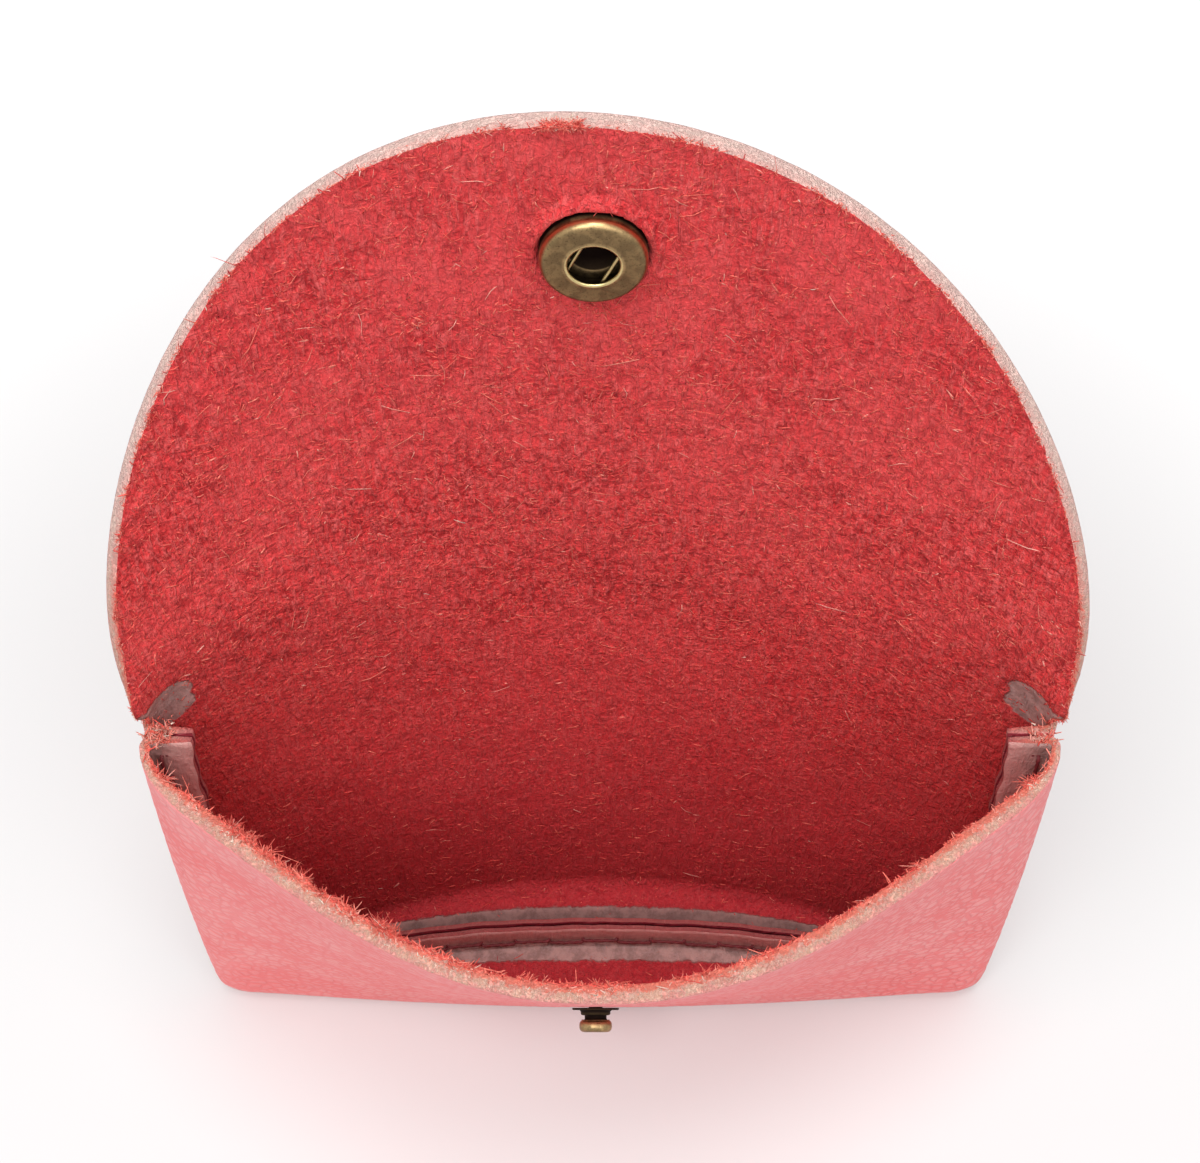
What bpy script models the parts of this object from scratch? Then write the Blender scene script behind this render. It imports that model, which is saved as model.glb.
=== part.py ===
"""Leather card holder: a turned two-panel pouch with a half-moon flap and a spring snap.

Metres, +Z up. The pouch stands on z = 0 with its mouth bowed open, X runs along the bottom seam, the front
panel faces -Y, and the flap stands up from the back panel. The seam's own place is y = 0 at the mouth corners.
"""

import math

import bmesh
import bpy
from mathutils import Matrix, Vector

# Leather
LEATHER = 0.0020  # thickness of the sheet
SKIVED = 0.0010  # thickness of the turned-in edges
SKIVE_WIDTH = 0.0055  # how far the thinning runs into a panel
ALLOWANCE = 0.0042  # standing height of the turned-in edge
CORNER_ALLOWANCE = 0.0022  # what is left of it round a bottom corner
TRIM = 0.0060  # length over which it is trimmed down to that
TURN = 0.0014  # grain radius of the turned fold beside the seam
TOUCH = 0.0003  # what touching pieces keep between them

# Pouch outline, to the outside of the turned fold
BOTTOM_HALF = 0.0559
MOUTH_HALF = 0.0521
SEAM_HEIGHT = 0.0775
CORNER = 0.0050
SIDE_DRAW = 1.5  # how late on the way up the sides draw in towards the mouth
PUFF = 0.0026  # how far a panel stands off the seam beside it
PUFF_WIDTH = 0.0056

# Where the seam lies front to back
SEAM_LEAN = 0.0002  # the bottom corners stand behind the mouth corners
SEAM_ARCH = 0.0056  # the middle of the bottom seam stands behind its ends

# Bow of the open mouth, on the grain side of the middle
LIP_FORWARD = 0.0298
LIP_DROP = 0.0055  # how far the middle of the lip sits below the mouth corners
LIP_HEIGHT = SEAM_HEIGHT - LIP_DROP
BACK_BOW = 0.0215
FRONT_BASE = 0.0018  # how far forward and back the pouch lies flat on its base
BACK_BASE = 0.0100
FRONT_BEND = 0.0045
BACK_BEND = 0.0060
FLAT_SHARE = 0.45  # share of the width that lies exactly flat on the base
BASE_SHARP = 1.6  # how sharply the bow falls off towards the sides at the base

# Flap, measured flat from the fold line
FLAP_LENGTH = 0.0708
FLAP_OVERHANG = 0.0007  # how far it stands out past the mouth on each side
FLAP_HALF = MOUTH_HALF + FLAP_OVERHANG
FLAP_WIDEST = 0.0095
ROLL_STRIP = 0.0100  # its root, which turns half as far as the rest when the leather rolls over
FLAP_ROUND = 1.93  # 2 is a half ellipse
FLAP_DRIFT = -0.0034  # sideways drift of its middle at the tip
DRIFT_POWER = 2.2
LEAN_ROOT = math.radians(3.6)
LEAN_SNAP = math.radians(3.0)
ROOT_CURL = 0.0205  # how far its edges curl forward, full width, at the root, at the snap and at the tip
SNAP_CURL = 0.0140
TIP_CURL = 0.0120
CURL_POWER = 2.6
ROOT_EASE = 0.0120  # length over which the seam's shape fades out of the flap

# Seam
STITCH = 0.0050
STITCH_IN = 0.0010  # stitch line, in from the turned fold
THREAD = 0.0005
THREAD_CLEAR = 0.00015
THREAD_SPREAD = 0.0003  # how far each thread lies to its side of the stitch line
END_CLEAR = 0.0030  # first hole, down from the mouth corner

# Spring snap
SNAP_X = -0.0006
SNAP_REACH = 0.0556  # snap centre, flat from the fold line
STUD_HEIGHT = 0.0180
SNAP_STACK = 0.0030  # flap leather to front leather when it is shut
SNAP_CLEAR = 0.00015
METAL = 0.0003
SEAT_DEPTH = 0.0009
RING_RADIUS = 0.0052
RING_HOLE = 0.0025
RING_HEIGHT = 0.0022
CRIMP_RADIUS = 0.0037
POST_RADIUS = 0.00275
POST_BORE = 0.00235
FLARE_RADIUS = 0.00345
CAP_RADIUS = 0.00625
CAP_CROWN = 0.0021
WIRE = 0.0004
BAR_OFFSET = 0.00185
SPRING_RADIUS = 0.0040
SPRING_SLANT = math.radians(-25)
STUD_FLANGE = 0.0032
STUD_COLLAR = 0.00203
STUD_NECK = 0.0015
STUD_HEAD = 0.00224
STUD_TALL = 0.0034
RIVET_FLANGE = 0.0035
RIVET_POST = 0.00095

# What follows from those, as heights over the flap's flesh side and as radii
CRIMP_LOW = SNAP_CLEAR - SEAT_DEPTH
CRIMP_TOP = CRIMP_LOW + METAL
PLATE_LOW = CRIMP_TOP + SNAP_CLEAR / 2
PLATE_TOP = PLATE_LOW + METAL
SKIRT_INSIDE = RING_RADIUS - METAL
PLATE_RADIUS = SKIRT_INSIDE - SNAP_CLEAR
FACE_INSIDE = RING_HEIGHT - METAL
SPRING_LEVEL = FACE_INSIDE - SNAP_CLEAR - WIRE / 2

# Mesh density
COLUMNS = 12  # each side of the middle
ROWS = 14
ROLL_ROWS = 3
FLAP_ROWS = 11
FLAP_SPREAD = math.radians(52)  # where its top row's ends lie on the round outline
FOLD_STEPS = 3
ROUND = 20

COLLECTION = "leather_card_holder"
CUTTERS = "cutters"


class Panel:
    """A body panel: which way it faces, its middle profile, and the shape of its bow across."""

    def __init__(self, side, base, bend, top_out, top_z, lens):
        self.side = side
        self.base = base
        self.bend = bend
        self.top_out = top_out
        self.top_z = top_z
        self.power, self.sharp, self.shoulder = lens
        self.start = side * (SEAM_LEAN + SEAM_ARCH) + TOUCH / 2 + TURN

    def middle(self, v):
        """Distance out and height of the grain side in the middle, v from the seam (0) to the mouth (1)."""
        across, up = self.top_out - self.base, self.top_z - self.bend
        reach = math.hypot(across, up)
        turn = math.atan2(up, across) - math.acos(self.bend / reach)
        wall = math.sqrt(reach**2 - self.bend**2)
        flat, bend = self.base - self.start, self.bend * (turn + math.pi / 2)
        s = v * (flat + bend + wall)
        if s < flat:
            return self.start + s, 0.0
        if s < flat + bend:
            a = (s - flat) / self.bend
            return self.base + self.bend * math.sin(a), self.bend * (1 - math.cos(a))
        left = (flat + bend + wall) - s
        heading = turn + math.pi / 2
        return self.top_out - left * math.cos(heading), self.top_z - left * math.sin(heading)

    def bow(self, u, v):
        """Share of the middle's bow at u, -1 to 1 across, falling to nothing at the side seams."""
        a, grown = abs(u), min(v / 0.5, 1.0)
        sharp = BASE_SHARP + (self.sharp - BASE_SHARP) * grown
        shoulder = self.shoulder * grown
        bell = max(0.0, 1 - a**self.power) ** sharp
        square = max(0.0, 1 - a**12) ** 0.6
        return (1 - shoulder) * bell + shoulder * square


FRONT = Panel(-1, FRONT_BASE, FRONT_BEND, LIP_FORWARD, LIP_HEIGHT, (2.15, 1.52, 0.14))
BACK = Panel(1, BACK_BASE, BACK_BEND, BACK_BOW, SEAM_HEIGHT, (2.3, 1.0, 0.0))


def smooth(t):
    t = min(max(t, 0.0), 1.0)
    return t * t * (3 - 2 * t)


BOTTOM_RUN = BOTTOM_HALF - CORNER
CORNER_RUN = CORNER * math.pi / 2
CORNER_MIDDLE = BOTTOM_RUN + CORNER_RUN / 2
WHOLE_RUN = BOTTOM_RUN + CORNER_RUN + SEAM_HEIGHT - CORNER


def side_half(z):
    """Half width of the pouch at this height, to the outside of the turned folds."""
    up = min(max((z - CORNER) / (SEAM_HEIGHT - CORNER), 0.0), 1.0)
    return BOTTOM_HALF - (BOTTOM_HALF - MOUTH_HALF) * up**SIDE_DRAW


def outline(run):
    """x and z of the pouch's outer edge at this run from the middle of the bottom, on the right."""
    if run < BOTTOM_RUN:
        return run, 0.0
    if run < BOTTOM_RUN + CORNER_RUN:
        a = (run - BOTTOM_RUN) / CORNER
        return BOTTOM_RUN + CORNER * math.sin(a), CORNER * (1 - math.cos(a))
    z = CORNER + run - BOTTOM_RUN - CORNER_RUN
    return side_half(z), z


def outward(run):
    """Outward direction of that edge in the seam's plane."""
    if run < BOTTOM_RUN + CORNER_RUN:
        a = max(0.0, run - BOTTOM_RUN) / CORNER
        return math.sin(a), -math.cos(a)
    step = 1e-5
    (x0, z0), (x1, z1) = outline(run - step), outline(run + step)
    size = math.hypot(x1 - x0, z1 - z0)
    return (z1 - z0) / size, (x0 - x1) / size


def seam_y(u, z, fade=1.0):
    """Where the seam lies front to back, u along the bottom and z up the sides."""
    return SEAM_LEAN * (1 - z / SEAM_HEIGHT) + SEAM_ARCH * fade * BACK.bow(u, 0.0)


def edge_distance(x, z):
    """How far a point of the seam's plane lies inside the outer edge."""
    x = abs(x)
    if x > BOTTOM_RUN and z < CORNER:
        return max(0.0, CORNER - math.hypot(x - BOTTOM_RUN, CORNER - z))
    return max(0.0, min(side_half(z) - x, z))


def rim(x, z):
    """Least distance of the grain side from the seam's plane, so that the turned-in edges fit inside."""
    inward = min(edge_distance(x, z) / PUFF_WIDTH, 1.0)
    return TOUCH / 2 + TURN + PUFF * math.sqrt(1 - (1 - inward) ** 2)


def panel_point(panel, u, v):
    """Grain side of a body panel."""
    a = abs(u)
    side_x, side_z = outline(CORNER_MIDDLE + (WHOLE_RUN - CORNER_MIDDLE) * v)
    low_x, low_z = outline(CORNER_MIDDLE * a)
    corner_x, corner_z = outline(CORNER_MIDDLE)
    out, middle_z = panel.middle(v)
    low = 1 - smooth(v / 0.25)
    x = side_x * a + (low_x - corner_x * a) * low
    flat = FLAT_SHARE * (1 - smooth(v / 0.4))
    side_share = (max(0.0, a - flat) / (1 - flat)) ** (2.5 + 1.5 * low)
    z = middle_z + (side_z - middle_z) * side_share + (low_z - corner_z * side_share) * low
    fade = (1 - v) ** 2
    middle = panel.side * out - seam_y(0.0, middle_z, fade) - panel.side * rim(0.0, middle_z)
    y = seam_y(u, z, fade) + panel.side * rim(x, z) + middle * panel.bow(u, v)
    return Vector((math.copysign(x, u), y, z))


def flap_half(s):
    """Half width of the flap, cut flat, at s from the fold line."""
    if s < FLAP_WIDEST:
        return MOUTH_HALF + (FLAP_HALF - MOUTH_HALF) * math.sin(math.pi / 2 * s / FLAP_WIDEST)
    t = (s - FLAP_WIDEST) / (FLAP_LENGTH - FLAP_WIDEST)
    return FLAP_HALF * max(0.0, 1 - t**FLAP_ROUND) ** (1 / FLAP_ROUND)


def flap_middle(s):
    """y, z and backward lean of the flap's grain side along its middle. The lean changes evenly up to the snap."""
    top = min(s, SNAP_REACH)
    change = (LEAN_SNAP - LEAN_ROOT) / SNAP_REACH
    lean = LEAN_ROOT + change * top
    half = LEAN_ROOT + change * top / 2
    y = BACK_BOW + top * math.sin(half) + (s - top) * math.sin(LEAN_SNAP)
    z = SEAM_HEIGHT + top * math.cos(half) + (s - top) * math.cos(LEAN_SNAP)
    return y, z, lean


def flap_point(x, s):
    """Grain side of the flap at its flat place x, s."""
    y, z, lean = flap_middle(s)
    if s < SNAP_REACH:
        full = ROOT_CURL + (SNAP_CURL - ROOT_CURL) * s / SNAP_REACH
    else:
        full = SNAP_CURL + (TIP_CURL - SNAP_CURL) * (s - SNAP_REACH) / (FLAP_LENGTH - SNAP_REACH)
    free = full * (abs(x) / FLAP_HALF) ** CURL_POWER
    u = min(abs(x) / MOUTH_HALF, 1.0)
    root = BACK_BOW - panel_point(BACK, u, 1.0).y
    grown = smooth(s / ROOT_EASE)
    curl = (1 - grown) * root + grown * free
    drift = FLAP_DRIFT * (s / FLAP_LENGTH) ** DRIFT_POWER
    return Vector((x + drift, y - curl * math.cos(lean), z + grown * curl * math.sin(lean)))


def column_places():
    """u of each column, closer together towards the side seams."""
    half = [t * (1.35 - 0.35 * t * t) for t in (i / COLUMNS for i in range(COLUMNS + 1))]
    return [-u for u in half[:0:-1]] + half


def row_places():
    """v of each row, closer together towards the base."""
    return [t * (0.3 + 0.7 * t) for t in (j / ROWS for j in range(ROWS + 1))]


def new_object(name, mesh, collection=COLLECTION):
    obj = bpy.data.objects.new(name, mesh)
    bpy.data.collections[collection].objects.link(obj)
    return obj


def surface_object(name, points, faces, shares):
    """A leather piece: its grain side as an open surface, thickened towards the flesh side."""
    mesh = bpy.data.meshes.new(name)
    mesh.from_pydata(points, [], faces)
    mesh.shade_smooth()
    obj = new_object(name, mesh)
    group = obj.vertex_groups.new(name="thickness")
    for index, share in enumerate(shares):
        group.add([index], share, "REPLACE")
    solid = obj.modifiers.new("leather", "SOLIDIFY")
    solid.thickness = LEATHER
    solid.offset = -1
    solid.vertex_group = group.name
    solid.thickness_vertex_group = 0.0
    return obj


def grid_faces(width, height, flip, rounded):
    """Quads of a grid numbered row by row, wound to face -Y, or +Y if flip.

    The end quads of the row called rounded have a corner on a round outline, and are split from that corner.
    """
    faces = []
    for j in range(height - 1):
        for i in range(width - 1):
            a = j * width + i
            quad = (a, a + 1, a + width + 1, a + width)
            if j == rounded and i in (0, width - 2):
                first = 0 if (i == 0) == (j == 0) else 1
                quad = quad[first:] + quad[:first]
                parts = [quad[:3], (quad[0], quad[2], quad[3])]
            else:
                parts = [quad]
            faces += [part[::-1] if flip else part for part in parts]
    return faces


def thinned(inside):
    """Share of the full thickness at this distance inside the turned fold."""
    return (SKIVED + (LEATHER - SKIVED) * smooth(inside / SKIVE_WIDTH)) / LEATHER


def panel_object(name, panel):
    """A body panel with its turned fold and its standing allowance along the sides and the bottom."""
    us = column_places()
    width = len(us)
    rows = row_places()
    points, shares = [], []
    for v in rows:
        for u in us:
            p = panel_point(panel, u, v)
            points.append(p)
            shares.append(thinned(edge_distance(p.x, p.z)))
    flip = panel.side > 0
    faces = grid_faces(width, ROWS + 1, flip, 0)
    side_run = [CORNER_MIDDLE + (WHOLE_RUN - CORNER_MIDDLE) * v for v in rows]
    edge = [(j * width, -1, side_run[j], -1.0) for j in range(ROWS, -1, -1)]
    edge += [(i, math.copysign(1, us[i]), CORNER_MIDDLE * abs(us[i]), us[i]) for i in range(1, width - 1)]
    edge += [(j * width + width - 1, 1, side_run[j], 1.0) for j in range(ROWS + 1)]
    last = [index for index, _, _, _ in edge]
    steps = [(TURN * (1 - math.sin(a)), TURN * (1 - math.cos(a)), 0.0) for a in fold_angles()]
    steps += [(TURN, 0.0, 0.5), (TURN, 0.0, 1.0)]
    for turned_in, off, share in steps:
        ring = []
        for _, hand, run, u in edge:
            ring.append(len(points))
            inward = turned_in + share * allowance(run)
            points.append(seam_place(hand, run, u, inward, panel.side * (TOUCH / 2 + off)))
            shares.append(SKIVED / LEATHER)
        for k in range(len(edge) - 1):
            quad = (last[k + 1], last[k], ring[k], ring[k + 1])
            faces.append(quad[::-1] if flip else quad)
        last = ring
    return surface_object(name, points, faces, shares)


def fold_angles():
    """Angles along the turned fold, from the panel's edge to the standing allowance."""
    return [math.pi / 2 * (1 - k / FOLD_STEPS) for k in range(1, FOLD_STEPS + 1)]


def allowance(run):
    """Standing height of the turned-in edge at this run. It is trimmed down round a bottom corner."""
    beyond = max(0.0, abs(run - CORNER_MIDDLE) - CORNER_RUN / 2)
    return CORNER_ALLOWANCE + (ALLOWANCE - CORNER_ALLOWANCE) * smooth(beyond / TRIM)


def seam_place(hand, run, u, inward, off):
    """A point of the seam: inward from the outer edge in the seam's plane, and off it front to back."""
    x, z = outline(run)
    nx, nz = outward(run)
    return Vector((hand * (x - nx * inward), seam_y(u, z) + off, z - nz * inward))


def flap_root_object():
    """The strip of the flap's leather above the fold line. It is thinned at its two ends, where the seam ends."""
    us = column_places()
    points, shares = [], []
    for j in range(ROLL_ROWS + 1):
        s = TOUCH + (ROLL_STRIP - TOUCH) * j / ROLL_ROWS
        for u in us:
            x = flap_half(s) * u
            points.append(flap_point(x, s))
            shares.append(thinned(math.hypot(MOUTH_HALF - abs(x), s)))
    faces = grid_faces(len(us), ROLL_ROWS + 1, True, None)
    return surface_object("flap_root", points, faces, shares)


def flap_object():
    """The half-moon flap, beyond the strip at its root."""
    us = column_places()
    width = len(us)
    start = ROLL_STRIP + TOUCH
    depth = FLAP_LENGTH - FLAP_WIDEST
    edge = FLAP_WIDEST + depth * math.cos(FLAP_SPREAD)
    points, shares = [], []
    for j in range(FLAP_ROWS + 1):
        v = j / FLAP_ROWS
        half = flap_half(start + v * (edge - start))
        for u in us:
            top = FLAP_WIDEST + depth * math.cos(u * FLAP_SPREAD)
            s = start + v * (top - start)
            x = half * ((1 - v) * u + v * math.sin(u * FLAP_SPREAD) / math.sin(FLAP_SPREAD))
            points.append(flap_point(x, s))
            shares.append(thinned(math.hypot(MOUTH_HALF - abs(x), s)))
    faces = grid_faces(width, FLAP_ROWS + 1, True, FLAP_ROWS - 1)
    return surface_object("flap", points, faces, shares)


def frame_at(place, out):
    """A frame at this place whose Z points along out and whose X is the pouch's X."""
    z = Vector((0, out.y, out.z)).normalized()
    x = Vector((1, 0, 0))
    y = z.cross(x)
    rows = [[x[i], y[i], z[i], place[i]] for i in range(3)]
    return Matrix(rows + [[0, 0, 0, 1]])


def flap_frame():
    """At the snap, on the flap's flesh side, looking away from the leather."""
    y, z, lean = flap_middle(SNAP_REACH)
    out = Vector((0, -math.cos(lean), math.sin(lean)))
    return frame_at(Vector((SNAP_X, y, z)) + out * LEATHER, out)


def stud_frame():
    """At the stud, on the front panel's grain side, looking away from the leather."""
    low, high = 0.0, 1.0
    for _ in range(60):
        v = (low + high) / 2
        if panel_point(FRONT, 0.0, v).z < STUD_HEIGHT:
            low = v
        else:
            high = v
    step = 1e-4
    up = panel_point(FRONT, 0.0, v + step) - panel_point(FRONT, 0.0, v - step)
    out = Vector((0, -up.z, up.y))
    place = panel_point(FRONT, 0.0, v)
    place.x = SNAP_X
    return frame_at(place, out)


def fold_hinge():
    """Point of the X axis about which the flap shuts so that the socket meets the stud square, and the angle."""
    socket, stud = flap_frame(), stud_frame()
    here, away = socket.translation, socket.col[2]
    there, front = stud.translation + stud.col[2].to_3d() * SNAP_STACK, stud.col[2]
    angle = math.atan2(-front[2], -front[1]) - math.atan2(away[2], away[1])
    angle %= 2 * math.pi
    c, s = math.cos(angle), math.sin(angle)
    ry = there.y - (c * here.y - s * here.z)
    rz = there.z - (s * here.y + c * here.z)
    det = (1 - c) ** 2 + s * s
    return Vector((0, ((1 - c) * ry - s * rz) / det, (s * ry + (1 - c) * rz) / det)), angle


def turned(name, profile, closed, frame):
    """A turned piece: a profile of radius and height, spun about its frame's Z."""
    mesh = bpy.data.meshes.new(name)
    count = len(profile)
    edges = [(k, k + 1) for k in range(count - 1)] + ([(count - 1, 0)] if closed else [])
    mesh.from_pydata([(r, 0, z) for r, z in profile], edges, [])
    obj = new_object(name, mesh)
    screw = obj.modifiers.new("turn", "SCREW")
    screw.angle = 2 * math.pi
    screw.steps = ROUND
    screw.render_steps = ROUND
    screw.use_merge_vertices = True
    screw.merge_threshold = 1e-6
    screw.use_smooth_shade = True
    obj.matrix_world = frame
    return obj


def cylinder_cutter(name, radius, low, high, frame):
    mesh = bpy.data.meshes.new(name)
    shape = bmesh.new()
    middle = Matrix.Translation((0, 0, (low + high) / 2))
    bmesh.ops.create_cone(
        shape, cap_ends=True, segments=ROUND, radius1=radius, radius2=radius, depth=high - low, matrix=middle
    )
    shape.to_mesh(mesh)
    shape.free()
    obj = new_object(name, mesh, CUTTERS)
    obj.matrix_world = frame
    obj.display_type = "WIRE"
    obj.hide_render = True
    return obj


def cut(obj, cutter):
    boolean = obj.modifiers.new("cut_" + cutter.name, "BOOLEAN")
    boolean.operation = "DIFFERENCE"
    boolean.object = cutter


def snap_cap(frame):
    """Domed button on the flap's grain side with the hollow post that is flared over the socket's plate."""
    flare_low = PLATE_TOP + SNAP_CLEAR / 2
    flare_top = flare_low + METAL
    under = -LEATHER - SNAP_CLEAR
    bore_end = under - CAP_CROWN / 2
    profile = [
        (0, bore_end),
        (POST_BORE, bore_end),
        (POST_BORE, flare_top),
        (FLARE_RADIUS, flare_top),
        (FLARE_RADIUS, flare_low),
        (POST_RADIUS, flare_low),
        (POST_RADIUS, under),
        (CAP_RADIUS * 0.94, under),
        (CAP_RADIUS, under - CAP_CROWN * 0.15),
        (CAP_RADIUS * 0.93, under - CAP_CROWN * 0.45),
        (CAP_RADIUS * 0.68, under - CAP_CROWN * 0.78),
        (CAP_RADIUS * 0.35, under - CAP_CROWN * 0.95),
        (0, under - CAP_CROWN),
    ]
    return turned("snap_cap", profile, False, frame)


def socket_shell(frame):
    """Domed ring with its hole, whose lower edge is crimped in below the plate."""
    profile = [
        (RING_HOLE, RING_HEIGHT - METAL / 3),
        (RING_HOLE + METAL, RING_HEIGHT),
        (RING_RADIUS * 0.72, RING_HEIGHT),
        (RING_RADIUS * 0.88, RING_HEIGHT - METAL * 0.5),
        (RING_RADIUS * 0.97, RING_HEIGHT - METAL * 1.6),
        (RING_RADIUS, RING_HEIGHT - METAL * 3.2),
        (RING_RADIUS, CRIMP_LOW),
        (CRIMP_RADIUS, CRIMP_LOW),
        (CRIMP_RADIUS, CRIMP_TOP),
        (SKIRT_INSIDE, CRIMP_TOP),
        (SKIRT_INSIDE, FACE_INSIDE - METAL * 1.8),
        (SKIRT_INSIDE * 0.96, FACE_INSIDE - METAL * 0.6),
        (SKIRT_INSIDE * 0.90, FACE_INSIDE),
        (RING_HOLE, FACE_INSIDE),
    ]
    return turned("socket_shell", profile, True, frame)


def socket_plate(frame):
    inner = POST_RADIUS + SNAP_CLEAR
    profile = [
        (inner, PLATE_TOP),
        (PLATE_RADIUS, PLATE_TOP),
        (PLATE_RADIUS, PLATE_LOW),
        (inner, PLATE_LOW),
    ]
    return turned("socket_plate", profile, True, frame)


def tube(name, points, radius, frame=None):
    """A wire or thread along these points, closed at both ends."""
    curve = bpy.data.curves.new(name, "CURVE")
    curve.dimensions = "3D"
    curve.bevel_depth = radius
    curve.bevel_resolution = 0
    curve.use_fill_caps = True
    spline = curve.splines.new("POLY")
    spline.points.add(len(points) - 1)
    for point, place in zip(spline.points, points):
        point.co = (*place, 1)
    obj = new_object(name, curve)
    if frame is not None:
        obj.matrix_world = frame
    return obj


def socket_spring(frame):
    """One bent wire: a bar each side of the hole, joined by a bow round one side. It lies turned a little."""
    bar = math.sqrt(SPRING_RADIUS**2 - BAR_OFFSET**2)
    start = math.atan2(bar, -BAR_OFFSET)
    end = math.atan2(-bar, BAR_OFFSET)
    points = [(-BAR_OFFSET, -bar * 0.9), (-BAR_OFFSET, -bar * 0.3), (-BAR_OFFSET, bar * 0.8)]
    bow = 9
    for k in range(1, bow):
        a = start + (end - start) * k / bow
        points.append((SPRING_RADIUS * math.cos(a), SPRING_RADIUS * math.sin(a)))
    points += [(BAR_OFFSET, -bar * 0.8), (BAR_OFFSET, bar * 0.3), (BAR_OFFSET, bar * 0.55)]
    slant = Matrix.Rotation(SPRING_SLANT, 4, "Z")
    return tube("socket_spring", [(x, y, SPRING_LEVEL) for x, y in points], WIRE / 2, frame @ slant)


def stud(frame):
    """Flange, collar, neck groove for the spring's bars, and the rounded head, hollow for the rivet's post."""
    bars_low = SNAP_STACK - SPRING_LEVEL - WIRE / 2
    bars_top = bars_low + WIRE
    flange_top = SNAP_CLEAR + METAL
    bore = RIVET_POST + SNAP_CLEAR
    head_low = bars_top + SNAP_CLEAR / 2
    rise = STUD_TALL - head_low
    profile = [
        (0, STUD_TALL),
        (STUD_HEAD * 0.60, STUD_TALL - rise * 0.04),
        (STUD_HEAD * 0.88, STUD_TALL - rise * 0.22),
        (STUD_HEAD, STUD_TALL - rise * 0.50),
        (STUD_HEAD * 0.97, STUD_TALL - rise * 0.80),
        (STUD_HEAD * 0.85, head_low),
        (STUD_NECK, head_low),
        (STUD_NECK, bars_low - SNAP_CLEAR / 2),
        (STUD_COLLAR, bars_low - SNAP_CLEAR),
        (STUD_COLLAR, flange_top),
        (STUD_FLANGE, flange_top),
        (STUD_FLANGE, SNAP_CLEAR),
        (bore, SNAP_CLEAR),
        (bore, STUD_TALL - METAL * 2),
        (0, STUD_TALL - METAL * 2),
    ]
    return turned("stud", profile, False, frame)


def stud_rivet(frame):
    """Flanged post from inside the front panel, standing up into the stud's hollow."""
    under = -LEATHER - SNAP_CLEAR
    profile = [
        (0, STUD_TALL - METAL * 2 - SNAP_CLEAR),
        (RIVET_POST, STUD_TALL - METAL * 2 - SNAP_CLEAR),
        (RIVET_POST, under),
        (RIVET_FLANGE, under),
        (RIVET_FLANGE, under - METAL),
        (RIVET_FLANGE * 0.5, under - METAL * 1.5),
        (0, under - METAL * 1.5),
    ]
    return turned("stud_rivet", profile, False, frame)


def stitch_runs():
    """Runs along the seam of its awl slits, from the left mouth corner round to the right one."""
    whole = 2 * (WHOLE_RUN - END_CLEAR)
    count = max(2, round(whole / STITCH))
    return [-WHOLE_RUN + END_CLEAR + whole * k / count for k in range(count + 1)]


def stitch_place(run, inward, off):
    """A point by the stitch line, inward from the turned fold and off the seam front to back."""
    hand = math.copysign(1, run)
    u = min(abs(run) / CORNER_MIDDLE, 1.0)
    return seam_place(hand, abs(run), u, TURN + inward, off)


def awl_slits():
    """One cutter: a slit through both standing edges at each stitch, wide enough for two threads side by side."""
    shape = bmesh.new()
    long = 2 * THREAD_SPREAD + THREAD + 2 * THREAD_CLEAR
    wide = THREAD + 2 * THREAD_CLEAR
    deep = 2 * (SKIVED + TOUCH + TURN / 4)
    for run in stitch_runs():
        middle = stitch_place(run, STITCH_IN, 0.0)
        along = (stitch_place(run + 1e-4, STITCH_IN, 0.0) - stitch_place(run - 1e-4, STITCH_IN, 0.0)).normalized()
        inward = (stitch_place(run, STITCH_IN + 1e-4, 0.0) - middle).normalized()
        through = along.cross(inward).normalized()
        inward = through.cross(along)
        columns = (along * wide, inward * long, through * deep)
        rows = [[c[i] for c in columns] + [middle[i]] for i in range(3)]
        bmesh.ops.create_cube(shape, size=1, matrix=Matrix(rows + [[0, 0, 0, 1]]))
    bmesh.ops.recalc_face_normals(shape, faces=shape.faces)
    mesh = bpy.data.meshes.new("awl_slits")
    shape.to_mesh(mesh)
    shape.free()
    obj = new_object("awl_slits", mesh, CUTTERS)
    obj.display_type = "WIRE"
    obj.hide_render = True
    return obj


def saddle_thread(name, hand):
    """One of the two threads. It changes face at every slit, and lies to its own side of the stitch line."""
    face = TOUCH / 2 + SKIVED + THREAD_CLEAR + THREAD / 2
    inward = STITCH_IN + hand * THREAD_SPREAD
    ease = THREAD * 0.6
    points = []
    for k, run in enumerate(stitch_runs()):
        comes = hand * (1 if k % 2 else -1) * face
        near = comes - math.copysign(ease, comes)
        if k:
            points.append(stitch_place(run - ease, inward, comes))
        points.append(stitch_place(run, inward, near))
        points.append(stitch_place(run, inward, -near))
        points.append(stitch_place(run + ease, inward, -comes))
    return tube(name, points[:-1], THREAD / 2)


MATERIALS = {
    "pink_leather": ((0.80, 0.24, 0.28), 0.55, 0.0),
    "antique_brass": ((0.22, 0.17, 0.08), 0.40, 1.0),
    "waxed_thread": ((0.55, 0.07, 0.08), 0.60, 0.0),
}
FINISH = {
    "pink_leather": ("back_panel", "flap_root", "flap", "front_panel"),
    "antique_brass": ("snap_cap", "socket_shell", "socket_plate", "socket_spring", "stud", "stud_rivet"),
    "waxed_thread": ("first_saddle_thread", "second_saddle_thread"),
}


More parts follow.
